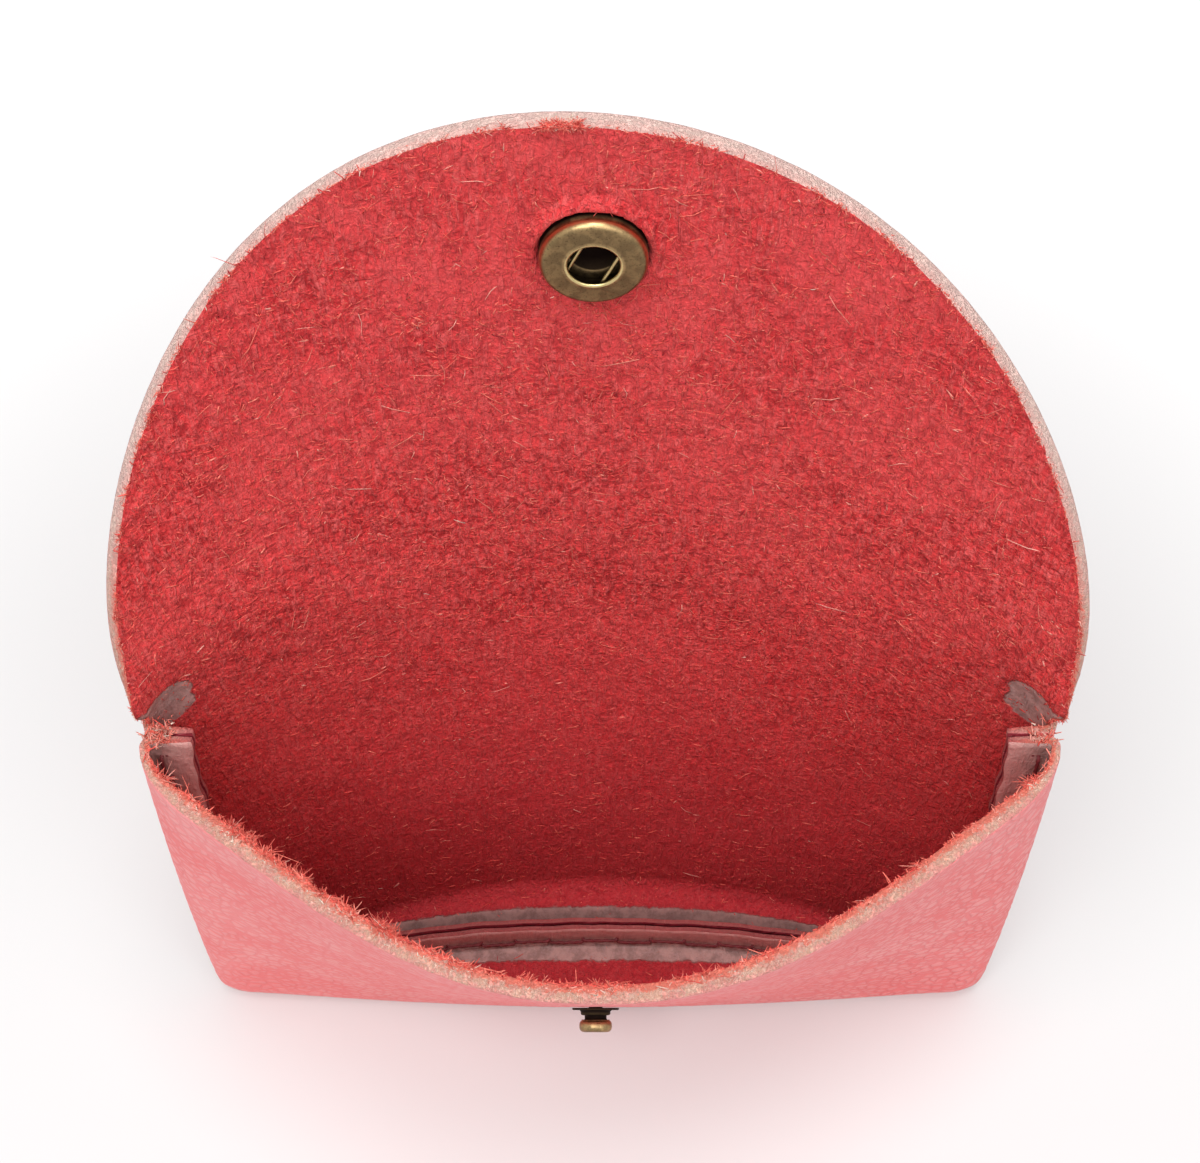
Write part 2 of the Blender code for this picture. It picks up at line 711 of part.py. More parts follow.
def give_materials():
    for name, (colour, roughness, metallic) in MATERIALS.items():
        material = bpy.data.materials.new(name)
        material.use_nodes = True
        shader = material.node_tree.nodes["Principled BSDF"]
        shader.inputs["Base Color"].default_value = (*colour, 1)
        shader.inputs["Roughness"].default_value = roughness
        shader.inputs["Metallic"].default_value = metallic
        for piece in FINISH[name]:
            bpy.data.objects[piece].data.materials.append(material)


def carry(pieces, empty):
    """Parents pieces to an empty without moving them."""
    bpy.context.view_layer.update()
    for piece in pieces:
        piece.parent = empty
        piece.matrix_parent_inverse = empty.matrix_world.inverted()


def main():
    for obj in list(bpy.data.objects):
        bpy.data.objects.remove(obj, do_unlink=True)
    for name in (COLLECTION, CUTTERS):
        bpy.context.scene.collection.children.link(bpy.data.collections.new(name))

    back = panel_object("back_panel", BACK)
    front = panel_object("front_panel", FRONT)
    root = flap_root_object()
    flap = flap_object()
    slits = awl_slits()
    cut(back, slits)
    cut(front, slits)
    saddle_thread("first_saddle_thread", -1)
    saddle_thread("second_saddle_thread", 1)

    at_socket, at_stud = flap_frame(), stud_frame()
    seat = RING_RADIUS + 2 * SNAP_CLEAR
    cut(flap, cylinder_cutter("ring_seat", seat, -SEAT_DEPTH, LEATHER, at_socket))
    post_hole = POST_RADIUS + SNAP_CLEAR
    cut(flap, cylinder_cutter("post_hole", post_hole, -2 * LEATHER, LEATHER, at_socket))
    rivet_hole = RIVET_POST + SNAP_CLEAR
    cut(front, cylinder_cutter("rivet_hole", rivet_hole, -2 * LEATHER, LEATHER, at_stud))
    on_flap = [make(at_socket) for make in (snap_cap, socket_shell, socket_plate, socket_spring)]
    stud(at_stud)
    stud_rivet(at_stud)

    place, angle = fold_hinge()
    fold, roll = new_object("fold_hinge", None), new_object("roll_hinge", None)
    for hinge in (fold, roll):
        hinge.location = place
        hinge["shut_angle"] = angle / 2
    carry([root, roll], fold)
    carry([flap, *on_flap], roll)
    give_materials()
    print("fold hinge", [round(c, 6) for c in place], "shuts at", round(math.degrees(angle), 3), "degrees")
    print("socket", [round(c, 5) for c in at_socket.translation], "stud", [round(c, 5) for c in at_stud.translation])


if __name__ == "__main__":
    main()
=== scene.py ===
"""Looks of the leather card holder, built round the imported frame.

Metres, +Z up. The pouch stands on z = 0 with its mouth bowed open, X runs along the bottom seam, the front
panel faces -Y and the half-moon flap stands up from the back panel. Grain is the smooth outside of the
leather and flesh its suede inside.
"""

import math

import bmesh
import bpy
import numpy as np
from bpy.props import FloatProperty, FloatVectorProperty, IntProperty, PointerProperty
from mathutils import Matrix, Vector, noise


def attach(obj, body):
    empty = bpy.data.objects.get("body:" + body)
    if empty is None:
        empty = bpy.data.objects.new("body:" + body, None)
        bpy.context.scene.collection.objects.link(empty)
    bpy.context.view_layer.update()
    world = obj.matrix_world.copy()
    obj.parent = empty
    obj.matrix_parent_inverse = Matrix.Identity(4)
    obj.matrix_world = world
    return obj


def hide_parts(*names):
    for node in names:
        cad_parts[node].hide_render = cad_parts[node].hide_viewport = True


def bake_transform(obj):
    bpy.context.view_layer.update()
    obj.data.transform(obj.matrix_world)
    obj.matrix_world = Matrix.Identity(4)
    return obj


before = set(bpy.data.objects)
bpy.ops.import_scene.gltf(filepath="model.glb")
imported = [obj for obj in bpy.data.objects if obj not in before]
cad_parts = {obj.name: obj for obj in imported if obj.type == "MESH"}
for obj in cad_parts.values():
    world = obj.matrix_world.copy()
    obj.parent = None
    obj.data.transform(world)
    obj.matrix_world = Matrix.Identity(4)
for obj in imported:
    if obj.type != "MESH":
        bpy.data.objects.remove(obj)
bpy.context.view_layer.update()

bl_info = {
    "name": "Leather Card Holder",
    "version": (1, 0, 0),
    "blender": (4, 5, 0),
    "location": "View3D > Sidebar > Card Holder",
    "description": "Turned leather pouch with a half-moon flap, raw suede inside and a brass spring snap",
    "category": "Add Mesh",
}

# Leather, as the frame has it
LEATHER = 0.0020
SKIVED = 0.0010
SKIVE_WIDTH = 0.0055
ALLOWANCE = 0.0042
CORNER_ALLOWANCE = 0.0022
TRIM = 0.0060
TURN = 0.0014
TOUCH = 0.0003

BOTTOM_HALF = 0.0559
MOUTH_HALF = 0.0521
SEAM_HEIGHT = 0.0775
CORNER = 0.0050
SIDE_DRAW = 1.5
PUFF = 0.0026
PUFF_WIDTH = 0.0056
SEAM_LEAN = 0.0002
SEAM_ARCH = 0.0056

LIP_FORWARD = 0.0298
LIP_HEIGHT = 0.0720
BACK_BOW = 0.0215
FRONT_BASE = 0.0018
BACK_BASE = 0.0100
FRONT_BEND = 0.0045
BACK_BEND = 0.0060
FLAT_SHARE = 0.45
BASE_SHARP = 1.6

FLAP_LENGTH = 0.0708
FLAP_HALF = 0.0528
FLAP_WIDEST = 0.0095
FLAP_ROUND = 1.93
FLAP_DRIFT = -0.0034
DRIFT_POWER = 2.2
LEAN_ROOT = math.radians(3.6)
LEAN_SNAP = math.radians(3.0)
ROOT_CURL = 0.0205
SNAP_CURL = 0.0140
TIP_CURL = 0.0120
CURL_POWER = 2.6
ROOT_EASE = 0.0120
# Length of the flap's root strip, at whose end the leather is cut in two. When the leather rolls over the
# mouth the strip turns half as far as the rest; nothing here turns it.
ROLL_STRIP = 0.0100
# Heights between which the leather turns from the pouch to the strip, and from the strip to the flap. Only
# the middle two are used, to split the strands between the two pieces of leather.
ROLL_LEVELS = (0.0775, 0.0872, 0.0891, 0.0988)

# Seam
STITCH = 0.0050
STITCH_IN = 0.0010
THREAD = 0.0005
THREAD_CLEAR = 0.00015
THREAD_SPREAD = 0.0003
END_CLEAR = 0.0030

# Spring snap
SNAP_X = -0.0006
SNAP_REACH = 0.0556
STUD_HEIGHT = 0.0180
SNAP_STACK = 0.0030
SNAP_CLEAR = 0.00015
METAL = 0.0003
SEAT_DEPTH = 0.0009
RING_RADIUS = 0.0052
RING_HOLE = 0.0025
RING_HEIGHT = 0.0022
CRIMP_RADIUS = 0.0037
POST_RADIUS = 0.00275
POST_BORE = 0.00235
FLARE_RADIUS = 0.00345
CAP_RADIUS = 0.00625
CAP_CROWN = 0.0021
WIRE = 0.0004
BAR_OFFSET = 0.00185
SPRING_RADIUS = 0.0040
SPRING_SLANT = math.radians(-25)
STUD_FLANGE = 0.0032
STUD_COLLAR = 0.00203
STUD_NECK = 0.0015
STUD_HEAD = 0.00224
STUD_TALL = 0.0034
RIVET_FLANGE = 0.0035
RIVET_POST = 0.00095

CRIMP_LOW = SNAP_CLEAR - SEAT_DEPTH
CRIMP_TOP = CRIMP_LOW + METAL
PLATE_LOW = CRIMP_TOP + SNAP_CLEAR / 2
PLATE_TOP = PLATE_LOW + METAL
SKIRT_INSIDE = RING_RADIUS - METAL
PLATE_RADIUS = SKIRT_INSIDE - SNAP_CLEAR
FACE_INSIDE = RING_HEIGHT - METAL
SPRING_LEVEL = FACE_INSIDE - SNAP_CLEAR - WIRE / 2
UNDER_LEATHER = -LEATHER - SNAP_CLEAR
BARS_LOW = SNAP_STACK - SPRING_LEVEL - WIRE / 2
HEAD_LOW = BARS_LOW + WIRE + SNAP_CLEAR / 2
HEAD_RISE = STUD_TALL - HEAD_LOW

# Mesh density
COLUMNS = 86  # each side of the middle
PANEL_ROWS = 100
STRIP_ROWS = 24  # flap rows on its root strip
ROLL_ROWS = 54  # and on all that rolls over the mouth
FLAP_ROWS = 84
TIP_FLAT = 0.00003  # what the last row leaves of the tip
FOLD_STEPS = 7
ALLOWANCE_ROWS = 5
ROUND = 96  # steps round a turned piece
TUBE_SIDES = 12

GRAIN, FLESH, EDGE = range(3)


# Shapes of the leather


def smooth(t):
    """Eases from 0 to 1."""
    t = np.clip(t, 0.0, 1.0)
    return t * t * (3 - 2 * t)


BOTTOM_RUN = BOTTOM_HALF - CORNER
CORNER_RUN = CORNER * math.pi / 2
CORNER_MIDDLE = BOTTOM_RUN + CORNER_RUN / 2
WHOLE_RUN = BOTTOM_RUN + CORNER_RUN + SEAM_HEIGHT - CORNER


def side_half(z):
    """Half width of the pouch at this height, to the outside of the turned folds."""
    up = np.clip((z - CORNER) / (SEAM_HEIGHT - CORNER), 0.0, 1.0)
    return BOTTOM_HALF - (BOTTOM_HALF - MOUTH_HALF) * up**SIDE_DRAW


def outline(run):
    """x and z of the pouch's outer edge at this run from the middle of the bottom, on the right."""
    run = np.asarray(run, float)
    a = np.clip((run - BOTTOM_RUN) / CORNER, 0.0, math.pi / 2)
    up = CORNER + run - BOTTOM_RUN - CORNER_RUN
    x = np.where(run < BOTTOM_RUN, run, BOTTOM_RUN + CORNER * np.sin(a))
    x = np.where(up > CORNER, side_half(up), x)
    z = np.where(up > CORNER, up, CORNER * (1 - np.cos(a)))
    return x, z


def outward(run):
    """Outward direction of that edge in the seam's plane."""
    run = np.asarray(run, float)
    a = np.clip((run - BOTTOM_RUN) / CORNER, 0.0, math.pi / 2)
    step = 1e-5
    (x0, z0), (x1, z1) = outline(run - step), outline(run + step)
    size = np.hypot(x1 - x0, z1 - z0)
    straight = run > BOTTOM_RUN + CORNER_RUN
    return np.where(straight, (z1 - z0) / size, np.sin(a)), np.where(straight, (x0 - x1) / size, -np.cos(a))


FULL_BOW = 0.5  # share of the height above which the bow has its full shape
SHOULDER_POWER = 12
SHOULDER_ROUND = 0.6
# Power, sharpness and shoulder of each panel's bow
FRONT_LENS = (2.15, 1.52, 0.14)
BACK_LENS = (2.3, 1.0, 0.0)


class Panel:
    """A body panel: which way it faces, its middle profile, and the shape of its bow across."""

    def __init__(self, side, base, bend, top_out, top_z, lens):
        self.side = side
        self.base = base
        self.bend = bend
        self.top_out = top_out
        self.top_z = top_z
        self.power, self.sharp, self.shoulder = lens
        self.start = side * (SEAM_LEAN + SEAM_ARCH) + TOUCH / 2 + TURN

    def middle(self, v):
        """Distance out and height of the grain side in the middle, v from the seam (0) to the mouth (1)."""
        across, up = self.top_out - self.base, self.top_z - self.bend
        turn = math.atan2(up, across) - math.acos(self.bend / math.hypot(across, up))
        wall = math.sqrt(across**2 + up**2 - self.bend**2)
        heading = turn + math.pi / 2
        flat, bend = self.base - self.start, self.bend * heading
        s = v * (flat + bend + wall)
        a = np.clip((s - flat) / self.bend, 0.0, heading)
        left = flat + bend + wall - s
        straight = s > flat + bend
        out = np.where(s < flat, self.start + s, self.base + self.bend * np.sin(a))
        out = np.where(straight, self.top_out - left * math.cos(heading), out)
        z = np.where(straight, self.top_z - left * math.sin(heading), self.bend * (1 - np.cos(a)))
        return out, z

    def bow(self, u, v):
        """Share of the middle's bow at u, -1 to 1 across, falling to nothing at the side seams."""
        a, grown = np.abs(u), np.minimum(v / FULL_BOW, 1.0)
        sharp = BASE_SHARP + (self.sharp - BASE_SHARP) * grown
        shoulder = self.shoulder * grown
        bell = np.maximum(0.0, 1 - a**self.power) ** sharp
        square = np.maximum(0.0, 1 - a**SHOULDER_POWER) ** SHOULDER_ROUND
        return (1 - shoulder) * bell + shoulder * square


FRONT = Panel(-1, FRONT_BASE, FRONT_BEND, LIP_FORWARD, LIP_HEIGHT, FRONT_LENS)
BACK = Panel(1, BACK_BASE, BACK_BEND, BACK_BOW, SEAM_HEIGHT, BACK_LENS)


def seam_y(u, z, fade=1.0):
    """Where the seam lies front to back, u along the bottom and z up the sides."""
    return SEAM_LEAN * (1 - z / SEAM_HEIGHT) + SEAM_ARCH * fade * BACK.bow(u, 0.0)


def edge_distance(x, z):
    """How far a point of the seam's plane lies inside the outer edge."""
    x = np.abs(x)
    round_corner = CORNER - np.hypot(x - BOTTOM_RUN, CORNER - z)
    straight = np.minimum(side_half(z) - x, z)
    return np.maximum(0.0, np.where((x > BOTTOM_RUN) & (z < CORNER), round_corner, straight))


def rim(x, z):
    """Least distance of the grain side from the seam's plane, so that the turned-in edges fit inside."""
    inward = np.minimum(edge_distance(x, z) / PUFF_WIDTH, 1.0)
    return TOUCH / 2 + TURN + PUFF * np.sqrt(1 - (1 - inward) ** 2)


# Shares of the height over which the round corners and the flat base fade out
CORNER_FADE = 0.25
FLAT_FADE = 0.4
# How late a row of the panel rises to its side seam, and how much later near the base
SIDE_POWER = 2.5
LOW_SIDE_POWER = 1.5


def panel_points(panel, u, v):
    """Grain side of a body panel."""
    a = np.abs(u)
    side_x, side_z = outline(CORNER_MIDDLE + (WHOLE_RUN - CORNER_MIDDLE) * v)
    low_x, low_z = outline(CORNER_MIDDLE * a)
    corner_x, corner_z = outline(CORNER_MIDDLE)
    out, middle_z = panel.middle(v)
    low = 1 - smooth(v / CORNER_FADE)
    x = side_x * a + (low_x - corner_x * a) * low
    flat = FLAT_SHARE * (1 - smooth(v / FLAT_FADE))
    side_share = (np.maximum(0.0, a - flat) / (1 - flat)) ** (SIDE_POWER + LOW_SIDE_POWER * low)
    z = middle_z + (side_z - middle_z) * side_share + (low_z - corner_z * side_share) * low
    fade = (1 - v) ** 2
    middle = panel.side * out - seam_y(0.0, middle_z, fade) - panel.side * rim(0.0, middle_z)
    y = seam_y(u, z, fade) + panel.side * rim(x, z) + middle * panel.bow(u, v)
    return np.stack([np.copysign(x, u), y, z], -1)


def flap_half(s):
    """Half width of the flap, cut flat, at s from the fold line."""
    t = np.clip((s - FLAP_WIDEST) / (FLAP_LENGTH - FLAP_WIDEST), 0.0, 1.0)
    low = np.clip(s / FLAP_WIDEST, 0.0, 1.0)
    grows = MOUTH_HALF + (FLAP_HALF - MOUTH_HALF) * np.sin(math.pi / 2 * low)
    return np.where(s < FLAP_WIDEST, grows, FLAP_HALF * (1 - t**FLAP_ROUND) ** (1 / FLAP_ROUND))


def flap_middle(s):
    """y, z and backward lean of the flap's grain side along its middle."""
    top = np.minimum(s, SNAP_REACH)
    change = (LEAN_SNAP - LEAN_ROOT) / SNAP_REACH
    lean = LEAN_ROOT + change * top
    half = LEAN_ROOT + change * top / 2
    y = BACK_BOW + top * np.sin(half) + (s - top) * math.sin(LEAN_SNAP)
    z = SEAM_HEIGHT + top * np.cos(half) + (s - top) * math.cos(LEAN_SNAP)
    return y, z, lean


def flap_points(x, s):
    """Grain side of the flap at its flat place x, s."""
    y, z, lean = flap_middle(s)
    low = ROOT_CURL + (SNAP_CURL - ROOT_CURL) * s / SNAP_REACH
    high = SNAP_CURL + (TIP_CURL - SNAP_CURL) * (s - SNAP_REACH) / (FLAP_LENGTH - SNAP_REACH)
    free = np.where(s < SNAP_REACH, low, high) * (np.abs(x) / FLAP_HALF) ** CURL_POWER
    u = np.minimum(np.abs(x) / MOUTH_HALF, 1.0)
    root = BACK_BOW - panel_points(BACK, u, np.ones_like(u))[..., 1]
    grown = smooth(s / ROOT_EASE)
    curl = (1 - grown) * root + grown * free
    drift = FLAP_DRIFT * (s / FLAP_LENGTH) ** DRIFT_POWER
    return np.stack([x + drift, y - curl * np.cos(lean), z + grown * curl * np.sin(lean)], -1)


def allowance(run):
    """Standing height of the turned-in edge at this run. It is trimmed down round a bottom corner."""
    beyond = np.maximum(0.0, np.abs(run - CORNER_MIDDLE) - CORNER_RUN / 2)
    return CORNER_ALLOWANCE + (ALLOWANCE - CORNER_ALLOWANCE) * smooth(beyond / TRIM)


def seam_places(hand, run, u, inward, off):
    """Points of the seam: inward from the outer edge in the seam's plane, and off it front to back."""
    x, z = outline(run)
    nx, nz = outward(run)
    return np.stack([hand * (x - nx * inward), seam_y(u, z) + off, z - nz * inward], -1)


def thinned(inside):
    """Thickness of the leather at this distance inside the turned fold."""
    return SKIVED + (LEATHER - SKIVED) * smooth(inside / SKIVE_WIDTH)


def to_world(points, matrix):
    """Numpy points of a frame, in the scene's own axes."""
    matrix = np.array(matrix)
    return points @ matrix[:3, :3].T + matrix[:3, 3]


def frame_at(place, out):
    """A frame at this place whose Z points along out and whose X is the pouch's X."""
    z = Vector((0, out[1], out[2])).normalized()
    x = Vector((1, 0, 0))
    y = z.cross(x)
    rows = [[x[i], y[i], z[i], place[i]] for i in range(3)]
    return Matrix(rows + [[0, 0, 0, 1]])


def flap_frame():
    """At the snap, on the flap's flesh side, looking away from the leather."""
    y, z, lean = (float(c) for c in flap_middle(SNAP_REACH))
    out = Vector((0, -math.cos(lean), math.sin(lean)))
    return frame_at(Vector((SNAP_X, y, z)) + out * LEATHER, out)


def stud_frame():
    """At the stud, on the front panel's grain side, looking away from the leather."""
    low, high = 0.0, 1.0
    for _ in range(60):
        v = (low + high) / 2
        if float(panel_points(FRONT, 0.0, v)[2]) < STUD_HEIGHT:
            low = v
        else:
            high = v
    step = 1e-4
    up = panel_points(FRONT, 0.0, v + step) - panel_points(FRONT, 0.0, v - step)
    place = Vector(panel_points(FRONT, 0.0, v))
    place.x = SNAP_X
    return frame_at(place, (0, -up[2], up[1]))


def soft_noise(points, size, seed):
    """Smooth noise, about -1 to 1, at each point. Its lumps are about this size."""
    move = Vector((seed * 7.3, seed * 3.1, seed * 5.7))
    return np.array([noise.noise(Vector(p) / size + move) for p in points])


# Making meshes


def numbered_faces(height, width, flip):
    """Quads of a grid numbered row by row."""
    a = (np.arange(height - 1)[:, None] * width + np.arange(width - 1)[None, :]).ravel()
    quads = np.stack([a, a + 1, a + width + 1, a + width], -1)
    return quads[:, ::-1] if flip else quads


def mesh_object(name, points, faces, marks=None, slots=None):
    """A new object from numpy points and lists of faces, with point attributes and a slot number per face."""
    mesh = bpy.data.meshes.new(name)
    mesh.from_pydata([tuple(p) for p in points.tolist()], [], faces)
    for key, values in (marks or {}).items():
        attribute = mesh.attributes.new(key, "FLOAT", "POINT")
        attribute.data.foreach_set("value", np.asarray(values, np.float32))
    if slots is not None:
        mesh.polygons.foreach_set("material_index", np.asarray(slots, np.int32))
    mesh.shade_smooth()
    mesh.update()
    obj = bpy.data.objects.new(name, mesh)
    bpy.context.scene.collection.objects.link(obj)
    return obj


def unit(vectors):
    """Each vector at length 1."""
    return vectors / np.maximum(np.linalg.norm(vectors, axis=-1, keepdims=True), 1e-12)


def point_normals(points, quads):
    """The direction that each point of the quads faces."""
    a, b, c, d = (points[quads[:, k]] for k in range(4))
    across = np.cross(c - a, d - b)
    total = np.zeros_like(points)
    for k in range(4):
        np.add.at(total, quads[:, k], across)
    return unit(total)


def open_edges(quads):
    """Directed edges that only one face has, in the order of a walk round them."""
    edges = {}
    for quad in quads.tolist():
        for k in range(4):
            edges[(quad[k], quad[(k + 1) % 4])] = True
    following = {a: b for a, b in edges if (b, a) not in edges}
    start = next(iter(following))
    walk = [start]
    while following[walk[-1]] != start:
        walk.append(following[walk[-1]])
    return np.array(walk)


# Rows of the cut edge between grain and flesh, how far each stands out, and how rough they are
EDGE_STEPS = np.array([0.08, 0.25, 0.42, 0.58, 0.75, 0.92])
EDGE_BULGE = np.array([0.45, 0.85, 1.0, 1.0, 0.85, 0.45]) * 0.00012
EDGE_ROUGH = 0.00005
EDGE_ROUGH_SIZE = 0.0007
# The turned-in edge: how its cut wanders, how far the two spread apart, and the share pared off its end
ALLOWANCE_WANDER = 0.00012
ALLOWANCE_WAVES = (900, 390)
ALLOWANCE_SPREAD = 0.00010
ALLOWANCE_PARED = 0.38


class Sheet:
    """A leather piece: its grain side as an open surface of quads, thickened towards the flesh side."""

    def __init__(self):
        self.points = np.zeros((0, 3))
        self.quads = np.zeros((0, 4), int)
        self.thick = np.zeros(0)
        self.skive = np.zeros(0)
        self.seam = np.zeros(0)

    def add(self, points, thick, skive, seam):
        """Adds points and gives the number of the first one."""
        first = len(self.points)
        points = points.reshape(-1, 3)
        count = len(points)
        self.points = np.concatenate([self.points, points])
        self.thick = np.concatenate([self.thick, np.broadcast_to(thick, (count,))])
        self.skive = np.concatenate([self.skive, np.broadcast_to(skive, (count,))])
        self.seam = np.concatenate([self.seam, np.broadcast_to(seam, (count,))])
        return first

    def turn_in(self, panel, width, rows):
        """The turned fold and the standing allowance along both sides and the bottom of the first rows."""
        us = column_places()
        vs = row_places()
        run = CORNER_MIDDLE + (WHOLE_RUN - CORNER_MIDDLE) * vs
        down = np.arange(rows - 1, -1, -1)
        across = np.arange(1, width - 1)
        last = np.concatenate([down * width, across, np.arange(rows) * width + width - 1])
        hand = np.concatenate([-np.ones(rows), np.copysign(1, us[across]), np.ones(rows)])
        runs = np.concatenate([run[down], CORNER_MIDDLE * np.abs(us[across]), run])
        u = np.concatenate([-np.ones(rows), us[across], np.ones(rows)])
        angles = math.pi / 2 * (1 - np.arange(1, FOLD_STEPS + 1) / FOLD_STEPS)
        steps = [(TURN * (1 - math.sin(a)), TURN * (1 - math.cos(a)), 0.0) for a in angles]
        steps += [(TURN, 0.0, k / ALLOWANCE_ROWS) for k in range(1, ALLOWANCE_ROWS + 1)]
        wave = np.sin(runs * ALLOWANCE_WAVES[0] + hand * 2) + np.sin(runs * ALLOWANCE_WAVES[1] + 1)
        for turned_in, off, share in steps:
            height = allowance(runs) + ALLOWANCE_WANDER * wave
            inward = turned_in + share * height
            apart = ALLOWANCE_SPREAD * share**3
            ring = seam_places(hand, runs, u, inward, panel.side * (TOUCH / 2 + off + apart))
            first = self.add(ring, SKIVED * (1 - ALLOWANCE_PARED * share**2), 1.0, share)
            now = first + np.arange(len(ring))
            quads = np.stack([last[1:], last[:-1], now[:-1], now[1:]], -1)
            self.quads = np.concatenate([self.quads, quads[:, ::-1] if panel.side > 0 else quads])
            last = now

    def finish(self, names, flesh_lift, grain_lift, stain):
        """The mesh: grain side, flesh side, and a rounded cut edge between them.

        With two names it is cut in two at the end of the flap's root strip, and both are closed there.
        """
        normals = point_normals(self.points, self.quads)
        grain = self.points + normals * grain_lift[:, None]
        flesh = self.points - normals * (self.thick - flesh_lift)[:, None]
        walk = open_edges(self.quads)
        before, after = np.roll(walk, 1), np.roll(walk, -1)
        out = unit(np.cross(self.points[after] - self.points[before], normals[walk]))
        count = len(self.points)
        rings = [walk]
        points = [grain, flesh]
        total = 2 * count
        for share, bulge in zip(EDGE_STEPS, EDGE_BULGE):
            middle = grain[walk] * (1 - share) + flesh[walk] * share
            rough = EDGE_ROUGH * soft_noise(middle, EDGE_ROUGH_SIZE, 3)
            points.append(middle + out * (bulge * self.thick[walk] / LEATHER + rough)[:, None])
            rings.append(total + np.arange(len(walk)))
            total += len(walk)
        rings.append(walk + count)
        faces = [self.quads, self.quads[:, ::-1] + count]
        slots = [np.full(len(self.quads), GRAIN), np.full(len(self.quads), FLESH)]
        for low, high in zip(rings, rings[1:]):
            quads = np.stack([np.roll(low, -1), low, high, np.roll(high, -1)], -1)
            faces.append(quads)
            slots.append(np.full(len(quads), EDGE))

        def spread(on_grain, on_flesh, on_edge):
            """A value for every point: grain side, flesh side, and each row of the cut edge."""
            return np.concatenate([on_grain, on_flesh] + on_edge)

        copies = len(EDGE_STEPS)
        level = [np.full(len(walk), share) for share in EDGE_STEPS]
        marks = {
            "skive": spread(self.skive, self.skive, [self.skive[walk]] * copies),
            "seam": spread(self.seam, self.seam, [self.seam[walk]] * copies),
            "stain": spread(np.zeros(count), stain, [stain[walk]] * copies),
            "across": spread(np.zeros(count), np.ones(count), level),
        }
        self.grain, self.flesh, self.normals, self.walk, self.out = grain, flesh, normals, walk, out
        points, faces, slots = (np.concatenate(parts) for parts in (points, faces, slots))
        if len(names) == 1:
            return [mesh_object(names[0], points, faces.tolist(), marks, slots)]
        numbers = spread(np.arange(count), np.arange(count), [walk] * copies)
        beyond = (numbers > self.strip_end[-1])[faces].any(1)
        return self.halves(names, points, faces, marks, slots, beyond, rings)

    def halves(self, names, points, faces, marks, slots, beyond, rings):
        """Two closed meshes: the leather up to the end of the root strip, and the leather beyond it."""
        row, count = self.strip_end, len(self.points)
        left, right = ([ring[list(self.walk).index(row[k])] for ring in rings] for k in (0, -1))
        cap = np.stack([row[1:], row[:-1], row[:-1] + count, row[1:] + count], -1).tolist()
        cap += [left, right[::-1]]
        rim = np.unique(np.concatenate(cap))
        objects = []
        for part, chosen, way in ((names[0], ~beyond, 1), (names[1], beyond, -1)):
            used, compact = np.unique(faces[chosen], return_inverse=True)
            # The cap has points of its own, so that the shading of the leather doesn't turn into it
            capped = [(np.searchsorted(rim, face[::way]) + len(used)).tolist() for face in cap]
            both = np.concatenate([used, rim])
            kept = {key: values[both] for key, values in marks.items()}
            shape = compact.reshape(-1, 4).tolist() + capped
            slot = np.concatenate([slots[chosen], np.full(len(cap), EDGE)])
            objects.append(mesh_object(part, points[both], shape, kept, slot))
        return objects


# How much closer the columns get towards the side seams, and the rows towards the base and the tip
COLUMN_CROWDING = 0.3
ROW_CROWDING = 0.5
TIP_CROWDING = 1.8
# The pared spot at each end of the fold line
SPOT_IN = 0.0018
SPOT_DOWN = 0.0014
SPOT_RADIUS = 0.0018
SPOT_FADE = 0.0012
# Pared bands along the base and the sides
BARE_BACK = 0.0036
BARE_BACK_LESS = 0.0020
BARE_FRONT = 0.0010
BARE_FADE = 0.0022
BARE_SIDE = 0.0005
BARE_SIDE_FADE = 0.0010


def column_places():
    """u of each column, closer together towards the side seams."""
    t = np.arange(COLUMNS + 1) / COLUMNS
    half = t * (1 + COLUMN_CROWDING - COLUMN_CROWDING * t * t)
    return np.concatenate([-half[:0:-1], half])


def row_places():
    """v of each row, closer together towards the base."""
    t = np.arange(PANEL_ROWS + 1) / PANEL_ROWS
    return t * (1 - ROW_CROWDING + ROW_CROWDING * t)


def spot(from_side, from_fold):
    """The pared spot at each end of the fold line, by the distance from the side and from the fold."""
    return 1 - smooth((np.hypot(from_side - SPOT_IN, from_fold - SPOT_DOWN) - SPOT_RADIUS) / SPOT_FADE)


def panel_sheet(panel):
    """A body panel with its turned fold and its standing allowance."""
    sheet = Sheet()
    us, vs = column_places(), row_places()
    u, v = np.meshgrid(us, vs)
    points = panel_points(panel, u, v)
    inside = edge_distance(points[..., 0], points[..., 2]).ravel()
    bare = BARE_BACK - BARE_BACK_LESS * (1 - u**2) if panel is BACK else BARE_FRONT
    low = 1 - smooth((v * (WHOLE_RUN - CORNER_MIDDLE) - bare) / BARE_FADE)
    from_side = (1 - np.abs(u)) * MOUTH_HALF
    beside = 1 - smooth((from_side - BARE_SIDE) / BARE_SIDE_FADE)
    if panel is BACK:
        beside = np.maximum(beside, spot(from_side, SEAM_HEIGHT - points[..., 2]))
    sheet.add(points, thinned(inside), np.maximum(low, beside).ravel(), 0.0)
    sheet.quads = numbered_faces(len(vs), len(us), panel.side > 0)
    sheet.turn_in(panel, len(us), len(vs))
    return sheet


